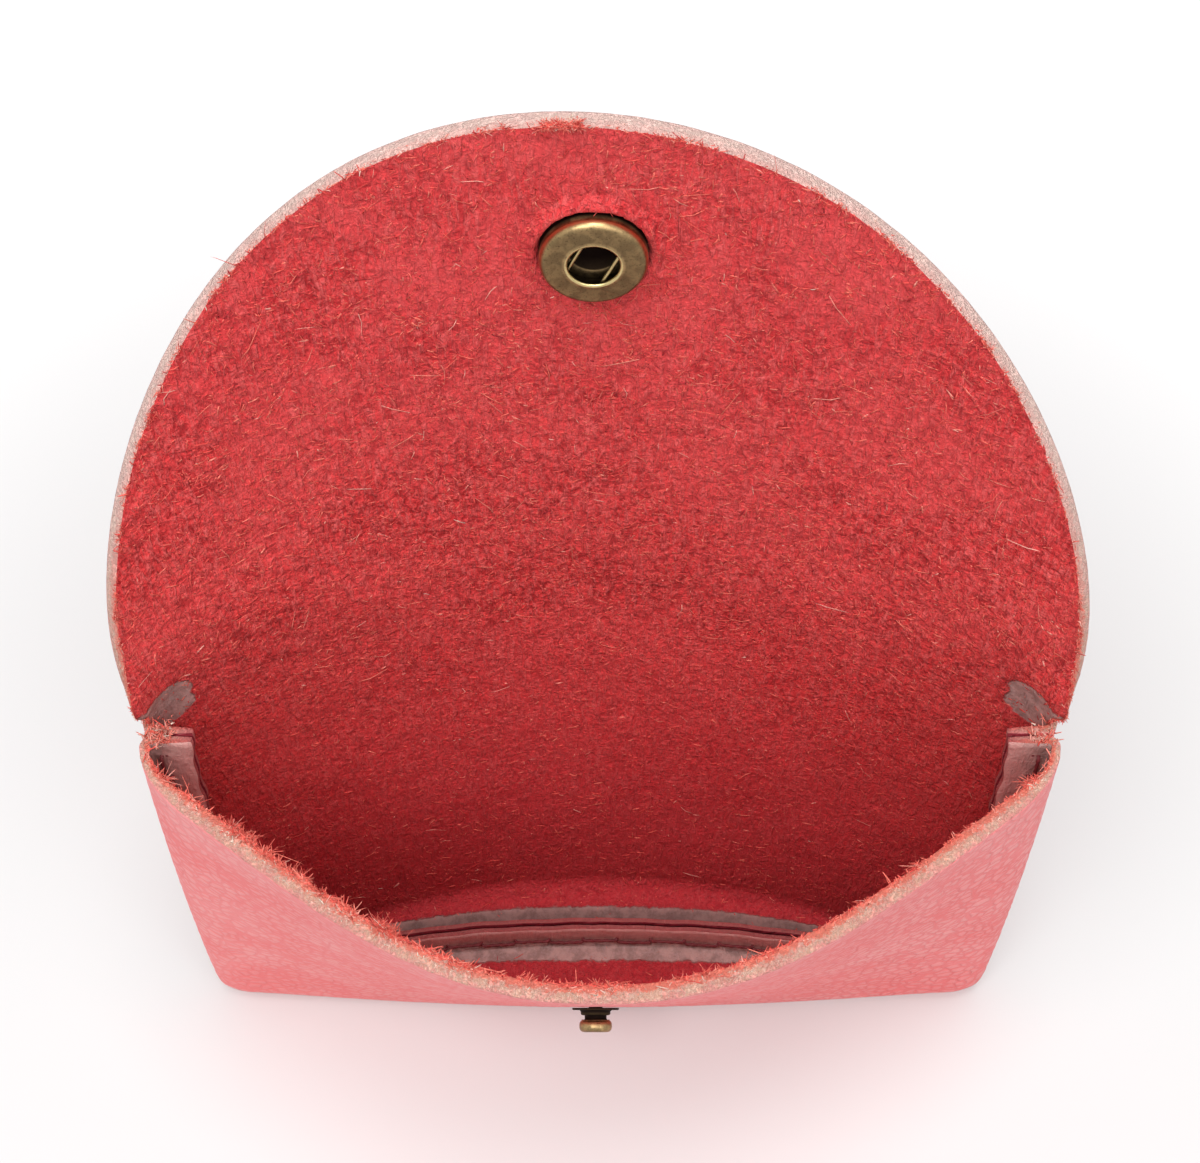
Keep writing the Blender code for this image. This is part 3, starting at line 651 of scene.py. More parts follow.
def add_flap(sheet):
    """Carries the back panel's leather on over the fold line into the half-moon flap."""
    us = column_places()
    width = len(us)
    low = ROLL_STRIP * np.arange(1, ROLL_ROWS + 1) / STRIP_ROWS
    left = 1 - np.arange(1, FLAP_ROWS + 1) / FLAP_ROWS
    high = low[-1] + (FLAP_LENGTH - TIP_FLAT - low[-1]) * (1 - left**TIP_CROWDING)
    u, s = np.meshgrid(us, np.concatenate([low, high]))
    x = u * flap_half(s)
    corner = np.hypot(MOUTH_HALF - np.abs(x), s).ravel()
    first = sheet.add(flap_points(x, s), thinned(corner), spot(MOUTH_HALF - np.abs(x), s).ravel(), 0.0)
    quads = numbered_faces(len(s), width, True) + first
    top = PANEL_ROWS * width + np.arange(width)
    start = first + np.arange(width)
    joined = np.stack([top[:-1], top[1:], start[1:], start[:-1]], -1)[:, ::-1]
    sheet.quads = np.concatenate([sheet.quads, joined, quads])
    sheet.strip_end = first + (STRIP_ROWS - 1) * width + np.arange(width)


# Finishes


class Tree:
    """Adds nodes to one node tree and joins them."""

    def __init__(self, tree):
        self.tree = tree

    def add(self, kind, inputs=None, **settings):
        node = self.tree.nodes.new(kind)
        for key, value in settings.items():
            setattr(node, key, value)
        for key, value in (inputs or {}).items():
            if isinstance(value, bpy.types.NodeSocket):
                self.tree.links.new(value, node.inputs[key])
            else:
                node.inputs[key].default_value = value
        return node

    def math(self, operation, a, b=0.0, c=None, clamp=False):
        inputs = {0: a, 1: b}
        if c is not None:
            inputs[2] = c
        return self.add("ShaderNodeMath", inputs, operation=operation, use_clamp=clamp).outputs[0]

    def vector(self, operation, inputs):
        return self.add("ShaderNodeVectorMath", inputs, operation=operation).outputs[0]

    def noise(self, where, size, detail=3.0, rough=0.55, warp=0.0):
        """Noise with lumps of about this size, in metres."""
        inputs = {"Vector": where, "Scale": 1 / size, "Detail": detail}
        inputs.update({"Roughness": rough, "Distortion": warp})
        return self.add("ShaderNodeTexNoise", inputs).outputs["Fac"]

    def axis(self, where, name):
        return self.add("ShaderNodeSeparateXYZ", {"Vector": where}).outputs[name]

    def attribute(self, name):
        return self.add("ShaderNodeAttribute", attribute_name=name).outputs["Fac"]

    def remap(self, value, low, high, out_low=0.0, out_high=1.0):
        inputs = {"Value": value, "From Min": low, "From Max": high, "To Min": out_low, "To Max": out_high}
        return self.add("ShaderNodeMapRange", inputs, interpolation_type="SMOOTHSTEP").outputs[0]

    def mix(self, share, a, b):
        """Colour a, with this share of colour b over it."""
        node = self.add("ShaderNodeMix", {0: share}, data_type="RGBA")
        for key, value in ((6, a), (7, b)):
            if isinstance(value, bpy.types.NodeSocket):
                self.tree.links.new(value, node.inputs[key])
            else:
                node.inputs[key].default_value = (*value, 1.0)
        return node.outputs[2]

    def coat(self, base, colour, mask, share):
        """The base with a colour over it where the mask says, at most by this share."""
        return self.mix(self.math("MULTIPLY", mask, share), base, colour)

    def strokes(self, where, size):
        inputs = {"Where": where, "Size": size}
        return self.add("ShaderNodeGroup", inputs, node_tree=short_strokes_group()).outputs["Fibre"]

    def bump(self, height, distance, strength):
        inputs = {"Height": height, "Distance": distance, "Strength": strength}
        return self.add("ShaderNodeBump", inputs).outputs[0]


def tinted(colour, shares):
    return tuple(c * k for c, k in zip(colour, shares))


def whitened(colour, shares):
    return tuple(c + (1 - c) * k for c, k in zip(colour, shares))


def new_group(name, inputs, outputs):
    """A node group, its nodes, and the nodes where its inputs come in and its outputs leave."""
    tree = bpy.data.node_groups.new(name, "ShaderNodeTree")
    for label, kind, default in inputs:
        socket = tree.interface.new_socket(label, in_out="INPUT", socket_type=kind)
        if default is not None:
            socket.default_value = default
    for label in outputs:
        tree.interface.new_socket(label, in_out="OUTPUT", socket_type="NodeSocketFloat")
    nodes = Tree(tree)
    enter = nodes.add("NodeGroupInput")
    leave = nodes.add("NodeGroupOutput")
    return nodes, enter, leave


# Each way that the strokes lie, and its seed
STROKE_TURNS = ((0.2, 0.0), (1.1, 3.0), (2.0, 7.0), (2.75, 11.0))
STROKE_TILT = 0.35
STROKE_STRETCH = (1.0, 0.9, 0.20)


def short_strokes_group():
    """Short fibres that lie in several directions: 1 on a fibre and 0 between fibres."""
    if "short_strokes" in bpy.data.node_groups:
        return bpy.data.node_groups["short_strokes"]
    inputs = [("Where", "NodeSocketVector", None), ("Size", "NodeSocketFloat", 0.001)]
    nodes, enter, leave = new_group("short_strokes", inputs, ["Fibre"])
    scale = nodes.math("DIVIDE", 1.0, enter.outputs["Size"])
    best = None
    for turn, seed in STROKE_TURNS:
        settings = {
            "Vector": enter.outputs["Where"],
            "Rotation": (STROKE_TILT, turn, 0.0),
            "Scale": STROKE_STRETCH,
            "Location": (seed, seed, seed),
        }
        placed = nodes.add("ShaderNodeMapping", settings).outputs[0]
        inputs = {"Vector": placed, "Scale": scale, "Detail": 1.5, "Roughness": 0.6, "Distortion": 0.7}
        fibre = nodes.add("ShaderNodeTexNoise", inputs).outputs["Fac"]
        best = fibre if best is None else nodes.math("MAXIMUM", best, fibre)
    shown = nodes.remap(best, 0.50, 0.74)
    nodes.tree.links.new(shown, leave.inputs["Fibre"])
    return nodes.tree


PEBBLE_BEND = 520.0  # how many waves a metre the rows of pebbles have
PEBBLE_SHIFT = 0.0012
SMALL_PEBBLES = 2.3  # small pebbles to a large one
PORE_SIZE = 0.00022


def pebble_group():
    """Pebbled grain: the height of its pebbles, and the creases between them."""
    if "leather_pebble" in bpy.data.node_groups:
        return bpy.data.node_groups["leather_pebble"]
    inputs = [("Where", "NodeSocketVector", None), ("Size", "NodeSocketFloat", 0.0014)]
    nodes, enter, leave = new_group("leather_pebble", inputs, ["Height", "Crease"])
    where = enter.outputs["Where"]
    scale = nodes.math("DIVIDE", 1.0, enter.outputs["Size"])
    inputs = {"Vector": where, "Scale": PEBBLE_BEND, "Detail": 2.0}
    bend = nodes.add("ShaderNodeTexNoise", inputs).outputs["Color"]
    shift = nodes.vector("SUBTRACT", {0: bend, 1: (0.5, 0.5, 0.5)})
    wave = nodes.vector("SCALE", {0: shift, "Scale": PEBBLE_SHIFT})
    moved = nodes.vector("ADD", {0: where, 1: wave})

    def cells(scale, edge):
        inputs = {"Vector": moved, "Scale": scale}
        cell = nodes.add("ShaderNodeTexVoronoi", inputs, feature="DISTANCE_TO_EDGE")
        return nodes.remap(cell.outputs["Distance"], 0.0, edge)

    crease = cells(scale, 0.24)
    fine = cells(nodes.math("MULTIPLY", scale, SMALL_PEBBLES), 0.30)
    pores = nodes.noise(where, PORE_SIZE, 2.0)
    height = nodes.math("MULTIPLY_ADD", fine, 0.14, nodes.math("MULTIPLY", crease, 0.90))
    height = nodes.math("MULTIPLY_ADD", pores, 0.05, height)
    nodes.tree.links.new(height, leave.inputs["Height"])
    nodes.tree.links.new(crease, leave.inputs["Crease"])
    return nodes.tree


def new_material(name):
    """A material with one Principled BSDF, its nodes, the shader and the object's coordinates."""
    material = bpy.data.materials.new(name)
    material.use_nodes = True
    nodes = Tree(material.node_tree)
    shader = nodes.tree.nodes["Principled BSDF"]
    where = nodes.add("ShaderNodeTexCoord").outputs["Object"]
    return material, nodes, shader, where


def finished(nodes, shader, colour, settings, roughness=None, bump=None):
    """Joins a material's colour, roughness and bump to its shader, and sets what is the same all over."""
    for key, socket in (("Base Color", colour), ("Roughness", roughness), ("Normal", bump)):
        if socket is not None:
            nodes.tree.links.new(socket, shader.inputs[key])
    for key, value in settings.items():
        shader.inputs[key].default_value = value


# Colours that the leather's finishes mix in, beside those that a user may change
# Painted shade in the grain's creases
GRAIN_CREASE_SHADE = (0.92, 0.56, 0.60)
GRAIN_PALE = (0.30, 0.10, 0.10)
# Painted light on the grain along the lip, and a painted highlight on its wrinkles
GRAIN_PAINTED_LIGHT = (0.14, 0.14, 0.14)
# Painted shade on the grain turned into the seam
GRAIN_SEAM_SHADE = (0.26, 0.018, 0.030)
# Painted shade in the suede's crevices
SUEDE_CREVICE_SHADE = (0.36, 0.10, 0.15)
# Painted shade on the suede, low in the pouch and at the top of the flap
SUEDE_SHADED = (0.50, 0.42, 0.62)
SUEDE_PALE_PATCHES = (0.03, 0.04, 0.04)
SUEDE_SHEEN = (1.0, 0.55, 0.5, 1.0)
SKIVED_DARK = (0.62, 0.62, 0.62)
SKIVED_FIBRES = (0.62, 0.42, 0.40)
# Painted light on the pared leather in the seam
SKIVED_SEAM_LIGHT = (0.90, 0.44, 0.40)
# Painted shade under the ring and low on the back panel
PAINTED_SHADE_COLOUR = (0.030, 0.010, 0.008)
EDGE_BLUSH = (0.90, 0.36, 0.30)
EDGE_SPECKS = (0.30, 0.16, 0.11)
EDGE_FIBRES = (0.94, 0.66, 0.54)
EDGE_BY_FLESH = (0.90, 0.20, 0.135)
EDGE_BY_GRAIN = (0.95, 0.36, 0.33)
EDGE_ON_RIM = (0.98, 0.74, 0.68)
# Painted shade on the cut edges in the seam
EDGE_SEAM_SHADE = (0.52, 0.105, 0.110)


# Size, detail, roughness and warp of the noise behind each mark of the finishes
GRAIN_WRINKLES = (0.00075, 3.0, 0.55, 0.5)
GRAIN_CLOUDS = (0.011, 3.0)
GRAIN_POWDER = (0.00012, 2.0)
NAP_CLUMPS = (0.00125, 3.5, 0.62, 1.2)
FINE_NAP = (0.00042, 3.0, 0.60, 0.8)
SUEDE_CLOUDS = (0.013, 4.0, 0.6, 0.4)
SKIVED_PATCHES = (0.0016, 4.0, 0.6)
SKIVED_FRAY = (0.0012, 4.0, 0.7)
EDGE_SPECKLE = (0.00055, 4.0, 0.7)
EDGE_CLOUDS = (0.0022, 3.0)
EDGE_FRAY = (0.0007, 4.0, 0.75)
FIBRE_FLECKS = (0.0004, 2.0)
BRASS_CLOUDS = (0.0016, 4.0, 0.62, 0.6)
BRASS_PITS = (0.00022, 3.0, 0.7)
BRASS_SCRATCHES = (0.00035, 4.0, 0.65)
THREAD_DIRT = (0.0014, 3.0)
# Size of their short strokes
NAP_STROKES = 0.00050
WIDE_STROKES = 0.0010
EDGE_STROKES = 0.0003
THREAD_HAIRS = 0.00012
# Depth and strength of their bumps
GRAIN_BUMP = (0.00022, 0.8)
SUEDE_BUMP = (0.00070, 1.0)
EDGE_BUMP = (0.00022, 0.9)
BRASS_BUMP = (0.00003, 0.7)
THREAD_BUMP = (0.00004, 0.8)
# Heights between which a mark comes or goes, and how strong it is at each
# Painted light on the front panel's grain towards the lip
LIT_LIP = (0.062, 0.0765, 0.0, 0.5)
PALE_RIM = (0.082, 0.120, 0.0, 0.65)
CLUMPS_SHOW = (0.030, 0.095, 0.50, 0.74)
CLUMPS_FADE = (0.105, 0.135, 0.0, 0.10)
PALE_PATCHES_SHOW = (0.08, 0.14, 0.30, 0.65)
# Painted shade on the suede deep in the pouch, and at the top of the flap
SHADE_INSIDE = (0.004, 0.085, 0.62, 0.0)
SHADE_ON_TOP = (0.100, 0.130, 0.0, 0.16)
FRONT_ONLY = (-0.004, 0.0, 1.0, 0.0)  # the same from front to back
PEBBLE_SHOWS = (0.22, 0.44)  # how much painted shade darkens the creases of the grain on the left and on the right


def grain_material(look):
    """Pebbled pink grain, with painted shade in its creases, painted light along the lip and on its wrinkles,
    and painted shade where it is turned into the seam.
    """
    if "pebbled_pink_grain" in bpy.data.materials:
        return bpy.data.materials["pebbled_pink_grain"]
    material, nodes, shader, where = new_material("pebbled_pink_grain")
    inputs = {"Where": where, "Size": look.pebble_size}
    pebble = nodes.add("ShaderNodeGroup", inputs, node_tree=pebble_group())
    pink = tuple(look.grain_colour)
    painted_light = whitened(pink, GRAIN_PAINTED_LIGHT)
    stretched = nodes.add("ShaderNodeMapping", {"Vector": where, "Scale": (0.20, 1.0, 1.0)}).outputs[0]
    wrinkle = nodes.remap(nodes.noise(stretched, *GRAIN_WRINKLES), 0.42, 0.60)
    cloud = nodes.remap(nodes.noise(where, *GRAIN_CLOUDS), 0.35, 0.68)
    base = nodes.mix(cloud, pink, whitened(pink, GRAIN_PALE))
    # The pebbles are fainter towards the left side
    ragged_x = nodes.math("MULTIPLY_ADD", cloud, 0.02, nodes.axis(where, "X"))
    plain = nodes.remap(ragged_x, -0.02, 0.045, *PEBBLE_SHOWS)
    # Painted shade: the grain is darker in the creases between its pebbles
    crease = nodes.remap(pebble.outputs["Crease"], 0.0, 0.9, 1.0, 0.0)
    colour = nodes.coat(base, tinted(pink, GRAIN_CREASE_SHADE), crease, plain)
    # Painted highlight: the ridges of the wrinkles are a little paler
    colour = nodes.coat(colour, painted_light, wrinkle, 0.05)
    # Painted light: the front panel's grain gets paler towards the lip
    lit_lip = nodes.remap(nodes.axis(where, "Z"), *LIT_LIP)
    in_front = nodes.remap(nodes.axis(where, "Y"), *FRONT_ONLY)
    colour = nodes.coat(colour, painted_light, lit_lip, in_front)
    # Painted shade: the grain turned into the seam is dark red, like the narrow gap between the allowances
    colour = nodes.mix(nodes.remap(nodes.attribute("seam"), 0.05, 0.5), colour, GRAIN_SEAM_SHADE)
    shine = nodes.remap(pebble.outputs["Height"], 0.2, 1.0, 0.62, 0.44)
    powder = nodes.noise(where, *GRAIN_POWDER)
    height = nodes.math("MULTIPLY_ADD", powder, 0.05, pebble.outputs["Height"])
    height = nodes.math("MULTIPLY_ADD", wrinkle, 0.20, height)
    height = nodes.math("MULTIPLY", height, nodes.remap(plain, *PEBBLE_SHOWS, 0.7, 1.2))
    finished(nodes, shader, colour, {}, shine, nodes.bump(height, *GRAIN_BUMP))
    return material


def suede_material(look):
    """Raw red suede with clumped nap, painted shade in its crevices and low in the pouch, painted highlights
    on its strokes, greyish where it is pared, painted light where the pared leather stands in the seam, and
    painted shade under the ring.
    """
    if "raw_red_suede" in bpy.data.materials:
        return bpy.data.materials["raw_red_suede"]
    material, nodes, shader, where = new_material("raw_red_suede")
    red = tuple(look.suede_colour)
    dark, deep = tinted(red, SUEDE_CREVICE_SHADE), tinted(red, SUEDE_SHADED)
    # Painted highlight on the nap's short strokes
    light = (1.0, red[1] * 3.6, red[2] * 3.3)
    strokes = nodes.strokes(where, NAP_STROKES)
    wide = nodes.strokes(where, WIDE_STROKES)
    clump = nodes.noise(where, *NAP_CLUMPS)
    nap = nodes.noise(where, *FINE_NAP)
    cloud = nodes.remap(nodes.noise(where, *SUEDE_CLOUDS), 0.34, 0.66)
    base = nodes.coat(red, light, strokes, 0.48)
    height_up = nodes.axis(where, "Z")
    strong = nodes.remap(height_up, *CLUMPS_SHOW)
    strong = nodes.math("SUBTRACT", strong, nodes.remap(height_up, *CLUMPS_FADE))
    # Painted shade: darker in the crevices between the nap's clumps and between its fine fibres
    base = nodes.coat(base, dark, nodes.remap(clump, 0.36, 0.56, 1.0, 0.0), strong)
    base = nodes.coat(base, dark, nodes.remap(nap, 0.40, 0.52, 1.0, 0.0), 0.42)
    # Paler in cloudy patches, more so higher up
    pale_patches = tuple(min(1.0, c + k) for c, k in zip(red, SUEDE_PALE_PATCHES))
    base = nodes.coat(base, pale_patches, cloud, nodes.remap(height_up, *PALE_PATCHES_SHOW))
    # Painted shade: the suede darkens towards the bottom of the pouch, and a little at the top of the flap
    base = nodes.mix(nodes.remap(height_up, *SHADE_INSIDE), base, deep)
    base = nodes.mix(nodes.remap(height_up, *SHADE_ON_TOP), base, deep)
    skin = tuple(look.skived_colour)
    patches = nodes.remap(nodes.noise(where, *SKIVED_PATCHES), 0.36, 0.64)
    pared = nodes.mix(patches, tinted(skin, SKIVED_DARK), skin)
    pared = nodes.coat(pared, SKIVED_FIBRES, strokes, 0.35)
    # Painted light: the pared leather standing in the seam is paler, against the shade that falls there
    pared = nodes.coat(pared, SKIVED_SEAM_LIGHT, nodes.attribute("seam"), 0.8)
    fray = nodes.noise(where, *SKIVED_FRAY)
    mask = nodes.remap(nodes.math("MULTIPLY_ADD", fray, 0.9, nodes.attribute("skive")), 0.72, 1.05)
    # Painted shade under the ring and on the pared leather low on the back panel
    colour = nodes.mix(nodes.attribute("stain"), nodes.mix(mask, base, pared), PAINTED_SHADE_COLOUR)
    settings = {
        "Roughness": 0.92,
        "Specular IOR Level": 0.10,
        "Sheen Weight": 0.05,
        "Sheen Roughness": 0.45,
        "Sheen Tint": SUEDE_SHEEN,
    }
    height = nodes.math("MULTIPLY_ADD", clump, 1.5, nodes.math("MULTIPLY", wide, 0.30))
    height = nodes.math("MULTIPLY_ADD", strokes, 0.30, height)
    height = nodes.math("MULTIPLY_ADD", nap, 0.35, height)
    keep = nodes.remap(mask, 0.0, 1.0, 1.0, 0.35)
    height = nodes.math("MULTIPLY", nodes.math("MULTIPLY", height, keep), strong)
    finished(nodes, shader, colour, settings, bump=nodes.bump(height, *SUEDE_BUMP))
    return material


def edge_material(look):
    """The raw cut edge: undyed tan fibres between the red flesh corner and the pink grain corner, with
    painted shade on the edges that stand in the seam.
    """
    if "cut_edge" in bpy.data.materials:
        return bpy.data.materials["cut_edge"]
    material, nodes, shader, where = new_material("cut_edge")
    tan = tuple(look.edge_colour)
    strokes = nodes.strokes(where, EDGE_STROKES)
    speck = nodes.remap(nodes.noise(where, *EDGE_SPECKLE), 0.40, 0.62)
    pinkish = nodes.remap(nodes.noise(where, *EDGE_CLOUDS), 0.40, 0.62)
    base = nodes.mix(pinkish, tan, EDGE_BLUSH)
    base = nodes.mix(nodes.remap(speck, 0.0, 0.7, 0.45, 0.0), base, EDGE_SPECKS)
    base = nodes.coat(base, EDGE_FIBRES, strokes, 0.6)
    frayed = nodes.math("SUBTRACT", nodes.noise(where, *EDGE_FRAY), 0.5)
    place = nodes.math("MULTIPLY_ADD", frayed, 1.5, nodes.attribute("across"))
    base = nodes.mix(nodes.remap(place, 0.45, 0.75, 0.0, 0.85), base, EDGE_BY_FLESH)
    base = nodes.mix(nodes.remap(place, 0.02, 0.22, 0.7, 0.0), base, EDGE_BY_GRAIN)
    base = nodes.mix(nodes.remap(nodes.axis(where, "Z"), *PALE_RIM), base, EDGE_ON_RIM)
    # Painted shade: the cut edges standing in the seam are dark red, like the narrow gap there
    base = nodes.coat(base, EDGE_SEAM_SHADE, nodes.attribute("seam"), 0.85)
    height = nodes.math("MULTIPLY_ADD", strokes, 0.6, speck)
    finished(nodes, shader, base, {"Roughness": 0.9}, bump=nodes.bump(height, *EDGE_BUMP))
    return material


# Places on the scale of tones, and the colour of a fibre there
FIBRE_TONES = (
    (0.00, (0.20, 0.010, 0.018)),
    (0.30, (0.50, 0.032, 0.042)),
    (0.55, (0.80, 0.095, 0.080)),
    (0.75, (0.90, 0.22, 0.16)),
    (0.90, (0.92, 0.46, 0.38)),
    (1.00, (0.86, 0.70, 0.58)),
)


def fibre_material():
    """Loose fibres, from crimson through orange red to undyed tan by their tone."""
    if "loose_fibre" in bpy.data.materials:
        return bpy.data.materials["loose_fibre"]
    material, nodes, shader, where = new_material("loose_fibre")
    ramp = nodes.add("ShaderNodeValToRGB", {"Fac": nodes.attribute("tone")})
    marks = ramp.color_ramp.elements
    while len(marks) < len(FIBRE_TONES):
        marks.new(0.5)
    for mark, (place, colour) in zip(marks, FIBRE_TONES):
        mark.position = place
        mark.color = (*colour, 1.0)
    fleck = nodes.remap(nodes.noise(where, *FIBRE_FLECKS), 0.35, 0.65, 0.75, 1.12)
    shade = nodes.vector("SCALE", {0: ramp.outputs["Color"], "Scale": fleck})
    finished(nodes, shader, shade, {"Roughness": 0.75, "Specular IOR Level": 0.25})
    return material


def brass_material(look):
    """Antique brass: dark patina in its hollows, brighter with wear, with a painted highlight where the wear
    is greatest and painted shade low on the ring's skirt.
    """
    if "dark_aged_brass" in bpy.data.materials:
        return bpy.data.materials["dark_aged_brass"]
    material, nodes, shader, where = new_material("dark_aged_brass")
    brass = tuple(look.brass_colour)
    dark = tuple(look.patina_colour)
    cloud = nodes.remap(nodes.noise(where, *BRASS_CLOUDS), 0.36, 0.64)
    pits = nodes.remap(nodes.noise(where, *BRASS_PITS), 0.30, 0.48)
    rubbed = nodes.attribute("rubbed")
    brass_share = nodes.math("MULTIPLY", nodes.remap(cloud, 0.0, 1.0, 0.85, 1.35), rubbed, clamp=True)
    base = nodes.mix(brass_share, dark, brass)
    base = nodes.coat(base, dark, nodes.math("SUBTRACT", 1.0, pits), 0.5)
    # Painted highlight over real wear where the wear value passes 0.82: the ring's lip and shoulder, the
    # cap's rim and crown, the rivet's flange and the spring
    painted_highlight = tuple(min(1.0, c * 3.0) for c in brass)
    base = nodes.coat(base, painted_highlight, nodes.remap(rubbed, 0.82, 1.0), 0.55)
    rough = nodes.remap(nodes.math("MULTIPLY_ADD", cloud, -0.2, rubbed), -0.2, 0.9, 0.75, 0.28)
    scratch = nodes.noise(where, *BRASS_SCRATCHES)
    finished(nodes, shader, base, {"Metallic": 1.0}, rough, nodes.bump(scratch, *BRASS_BUMP))
    return material


def thread_material(look):
    """Waxed thread with fine hairs, dirty in places."""
    if "twisted_red_thread" in bpy.data.materials:
        return bpy.data.materials["twisted_red_thread"]
    material, nodes, shader, where = new_material("twisted_red_thread")
    red = tuple(look.thread_colour)
    dark = tuple(c * 0.45 for c in red)
    pale = tuple(min(1.0, c * 1.6 + 0.02) for c in red)
    hair = nodes.strokes(where, THREAD_HAIRS)
    dirt = nodes.remap(nodes.noise(where, *THREAD_DIRT), 0.35, 0.65)
    base = nodes.coat(nodes.coat(red, dark, dirt, 0.5), pale, hair, 0.4)
    rough = nodes.remap(hair, 0.0, 1.0, 0.62, 0.42)
    finished(nodes, shader, base, {}, rough, nodes.bump(hair, *THREAD_BUMP))
    return material


# Strands and turned pieces


FIBRE_RINGS = 3
FIBRE_SHOULDER = 0.90  # how far along a fibre its last ring sits, before the point
FIBRE_TAPER = 0.45
OFF_WAY = np.array([0.013, 0.007, 0.011])  # keeps the sides of a straight fibre from vanishing


def strands(name, roots, ways, lengths, radii, curls, tones):
    """Fine closed fibres, each tapering to a point. curls is how far each bends off its way, per length."""
    count, rings = len(roots), FIBRE_RINGS
    t = np.append(np.linspace(0, FIBRE_SHOULDER, rings), 1.0)
    reach = lengths[:, None, None]
    bent = curls[:, None] * reach * (t**2)[None, :, None]
    line = roots[:, None] + ways[:, None] * reach * t[None, :, None] + bent
    side = unit(np.cross(ways, curls + OFF_WAY))
    other = np.cross(ways, side)
    points = []
    for k in range(rings):
        wide = (radii * (1 - FIBRE_TAPER * t[k] ** 2))[:, None]
        for a in (0.0, 2 * math.pi / 3, 4 * math.pi / 3):
            points.append(line[:, k] + wide * (side * math.cos(a) + other * math.sin(a)))
    points.append(line[:, rings])
    per = len(points)
    points = np.stack(points, 1).reshape(-1, 3)
    first = (np.arange(count) * per)[:, None]
    shapes = [[2, 1, 0]]
    for k in range(rings - 1):
        for a in range(3):
            b = (a + 1) % 3
            shapes.append([3 * k + a, 3 * k + b, 3 * k + 3 + b, 3 * k + 3 + a])
    tip = 3 * rings
    top = 3 * (rings - 1)
    shapes += [[top + a, top + (a + 1) % 3, tip] for a in range(3)]
    faces = []
    for shape in shapes:
        faces += (first + np.array(shape)).tolist()
    obj = mesh_object(name, points, faces, {"tone": np.repeat(tones, per)})
    obj.data.materials.append(fibre_material())
    return obj


def scatter(sheet, quads, share, count, draw):
    """Random places on the flesh side of these quads, more where share is larger, with their normals."""
    a, b, c, d = (sheet.flesh[quads[:, k]] for k in range(4))
    area = np.linalg.norm(np.cross(c - a, d - b), axis=1) / 2 * share
    picked = draw.choice(len(quads), count, p=area / area.sum())
    r, q = draw.random((2, count, 1))
    places = (a[picked] * (1 - r) + b[picked] * r) * (1 - q) + (d[picked] * (1 - r) + c[picked] * r) * q
    normals = -unit(sum(sheet.normals[quads[picked, k]] for k in range(4)))
    return places, normals


def tangents(normals, draw):
    """A random direction along the surface at each place."""
    wild = draw.normal(size=normals.shape)
    return unit(wild - normals * np.sum(wild * normals, 1, keepdims=True))


NAP_ROOT = 0.00004  # how deep a fibre of the nap is rooted
NAP_SHORT = 2.2  # the larger, the more of the fibres are short
NAP_CURL = (0.2, 1.1)  # how far a fibre bends along the suede
NAP_SINKS = 0.8  # and how much of its rise it loses again


def nap(sheet, quads, share, count, length, radius, lift, tone, seed):
    """What strands() needs for loose fibres that lie on the flesh side."""
    draw = np.random.default_rng(seed)
    places, normals = scatter(sheet, quads, share, count, draw)
    along = tangents(normals, draw)
    rise = draw.uniform(*lift, (count, 1))
    ways = unit(along + normals * rise)
    lengths = length[0] + (length[1] - length[0]) * draw.random(count) ** NAP_SHORT
    radii = draw.uniform(*radius, count)
    curls = tangents(normals, draw) * draw.uniform(*NAP_CURL, (count, 1)) - normals * rise * NAP_SINKS
    tones = np.clip(draw.normal(*tone, count), 0.0, 1.0)
    return places - normals * NAP_ROOT, ways, lengths, radii, curls, tones


FLUTED_RIM = 0.9  # flutes reach what stands out at least this share of the largest radius
FLUTE_SHADE = 0.8


def turned(name, profile, matrix, flutes=None):
    """A turned piece: a closed profile of (radius, height, wear), spun about its frame's Z. The wear value
    also carries painted highlight and painted shade.

    flutes is (how many, how deep, lowest height, highest height) for grooves pressed into its side.
    """
    profile = np.array(profile, float)
    count = len(profile)
    angles = 2 * math.pi * np.arange(ROUND) / ROUND
    radius, height = profile[:, 0], profile[:, 1]
    wide = np.broadcast_to(radius[None, :], (ROUND, count)).copy()
    rubbed = np.broadcast_to(profile[None, :, 2], (ROUND, count)).copy()
    if flutes:
        number, depth, low, high = flutes
        where = (height > low) & (height < high) & (radius > FLUTED_RIM * radius.max())
        groove = (0.5 - 0.5 * np.cos(number * angles))[:, None] ** 2 * where[None, :]
        wide -= depth * groove
        rubbed *= 1 - FLUTE_SHADE * groove
    x = wide * np.cos(angles)[:, None]
    y = wide * np.sin(angles)[:, None]
    z = np.broadcast_to(height[None, :], x.shape)
    points = np.stack([x, y, z], -1).reshape(-1, 3)
    faces = []
    for k in range(ROUND):
        n = (k + 1) % ROUND
        for j in range(count):
            m = (j + 1) % count
            if radius[j] == 0.0 and radius[m] == 0.0:
                continue
            faces.append([k * count + j, n * count + j, n * count + m, k * count + m])
    obj = mesh_object(name, to_world(points, matrix), faces, {"rubbed": rubbed.ravel()})
    return tidy(obj)


def tidy(obj):
    """Joins points that fall together on the axis, drops what that leaves empty, and turns faces outwards."""
    shape = bmesh.new()
    shape.from_mesh(obj.data)
    bmesh.ops.remove_doubles(shape, verts=shape.verts, dist=1e-7)
    bmesh.ops.dissolve_degenerate(shape, edges=shape.edges, dist=1e-8)
    bmesh.ops.recalc_face_normals(shape, faces=shape.faces)
    shape.to_mesh(obj.data)
    shape.free()
    obj.data.shade_smooth()
    return obj


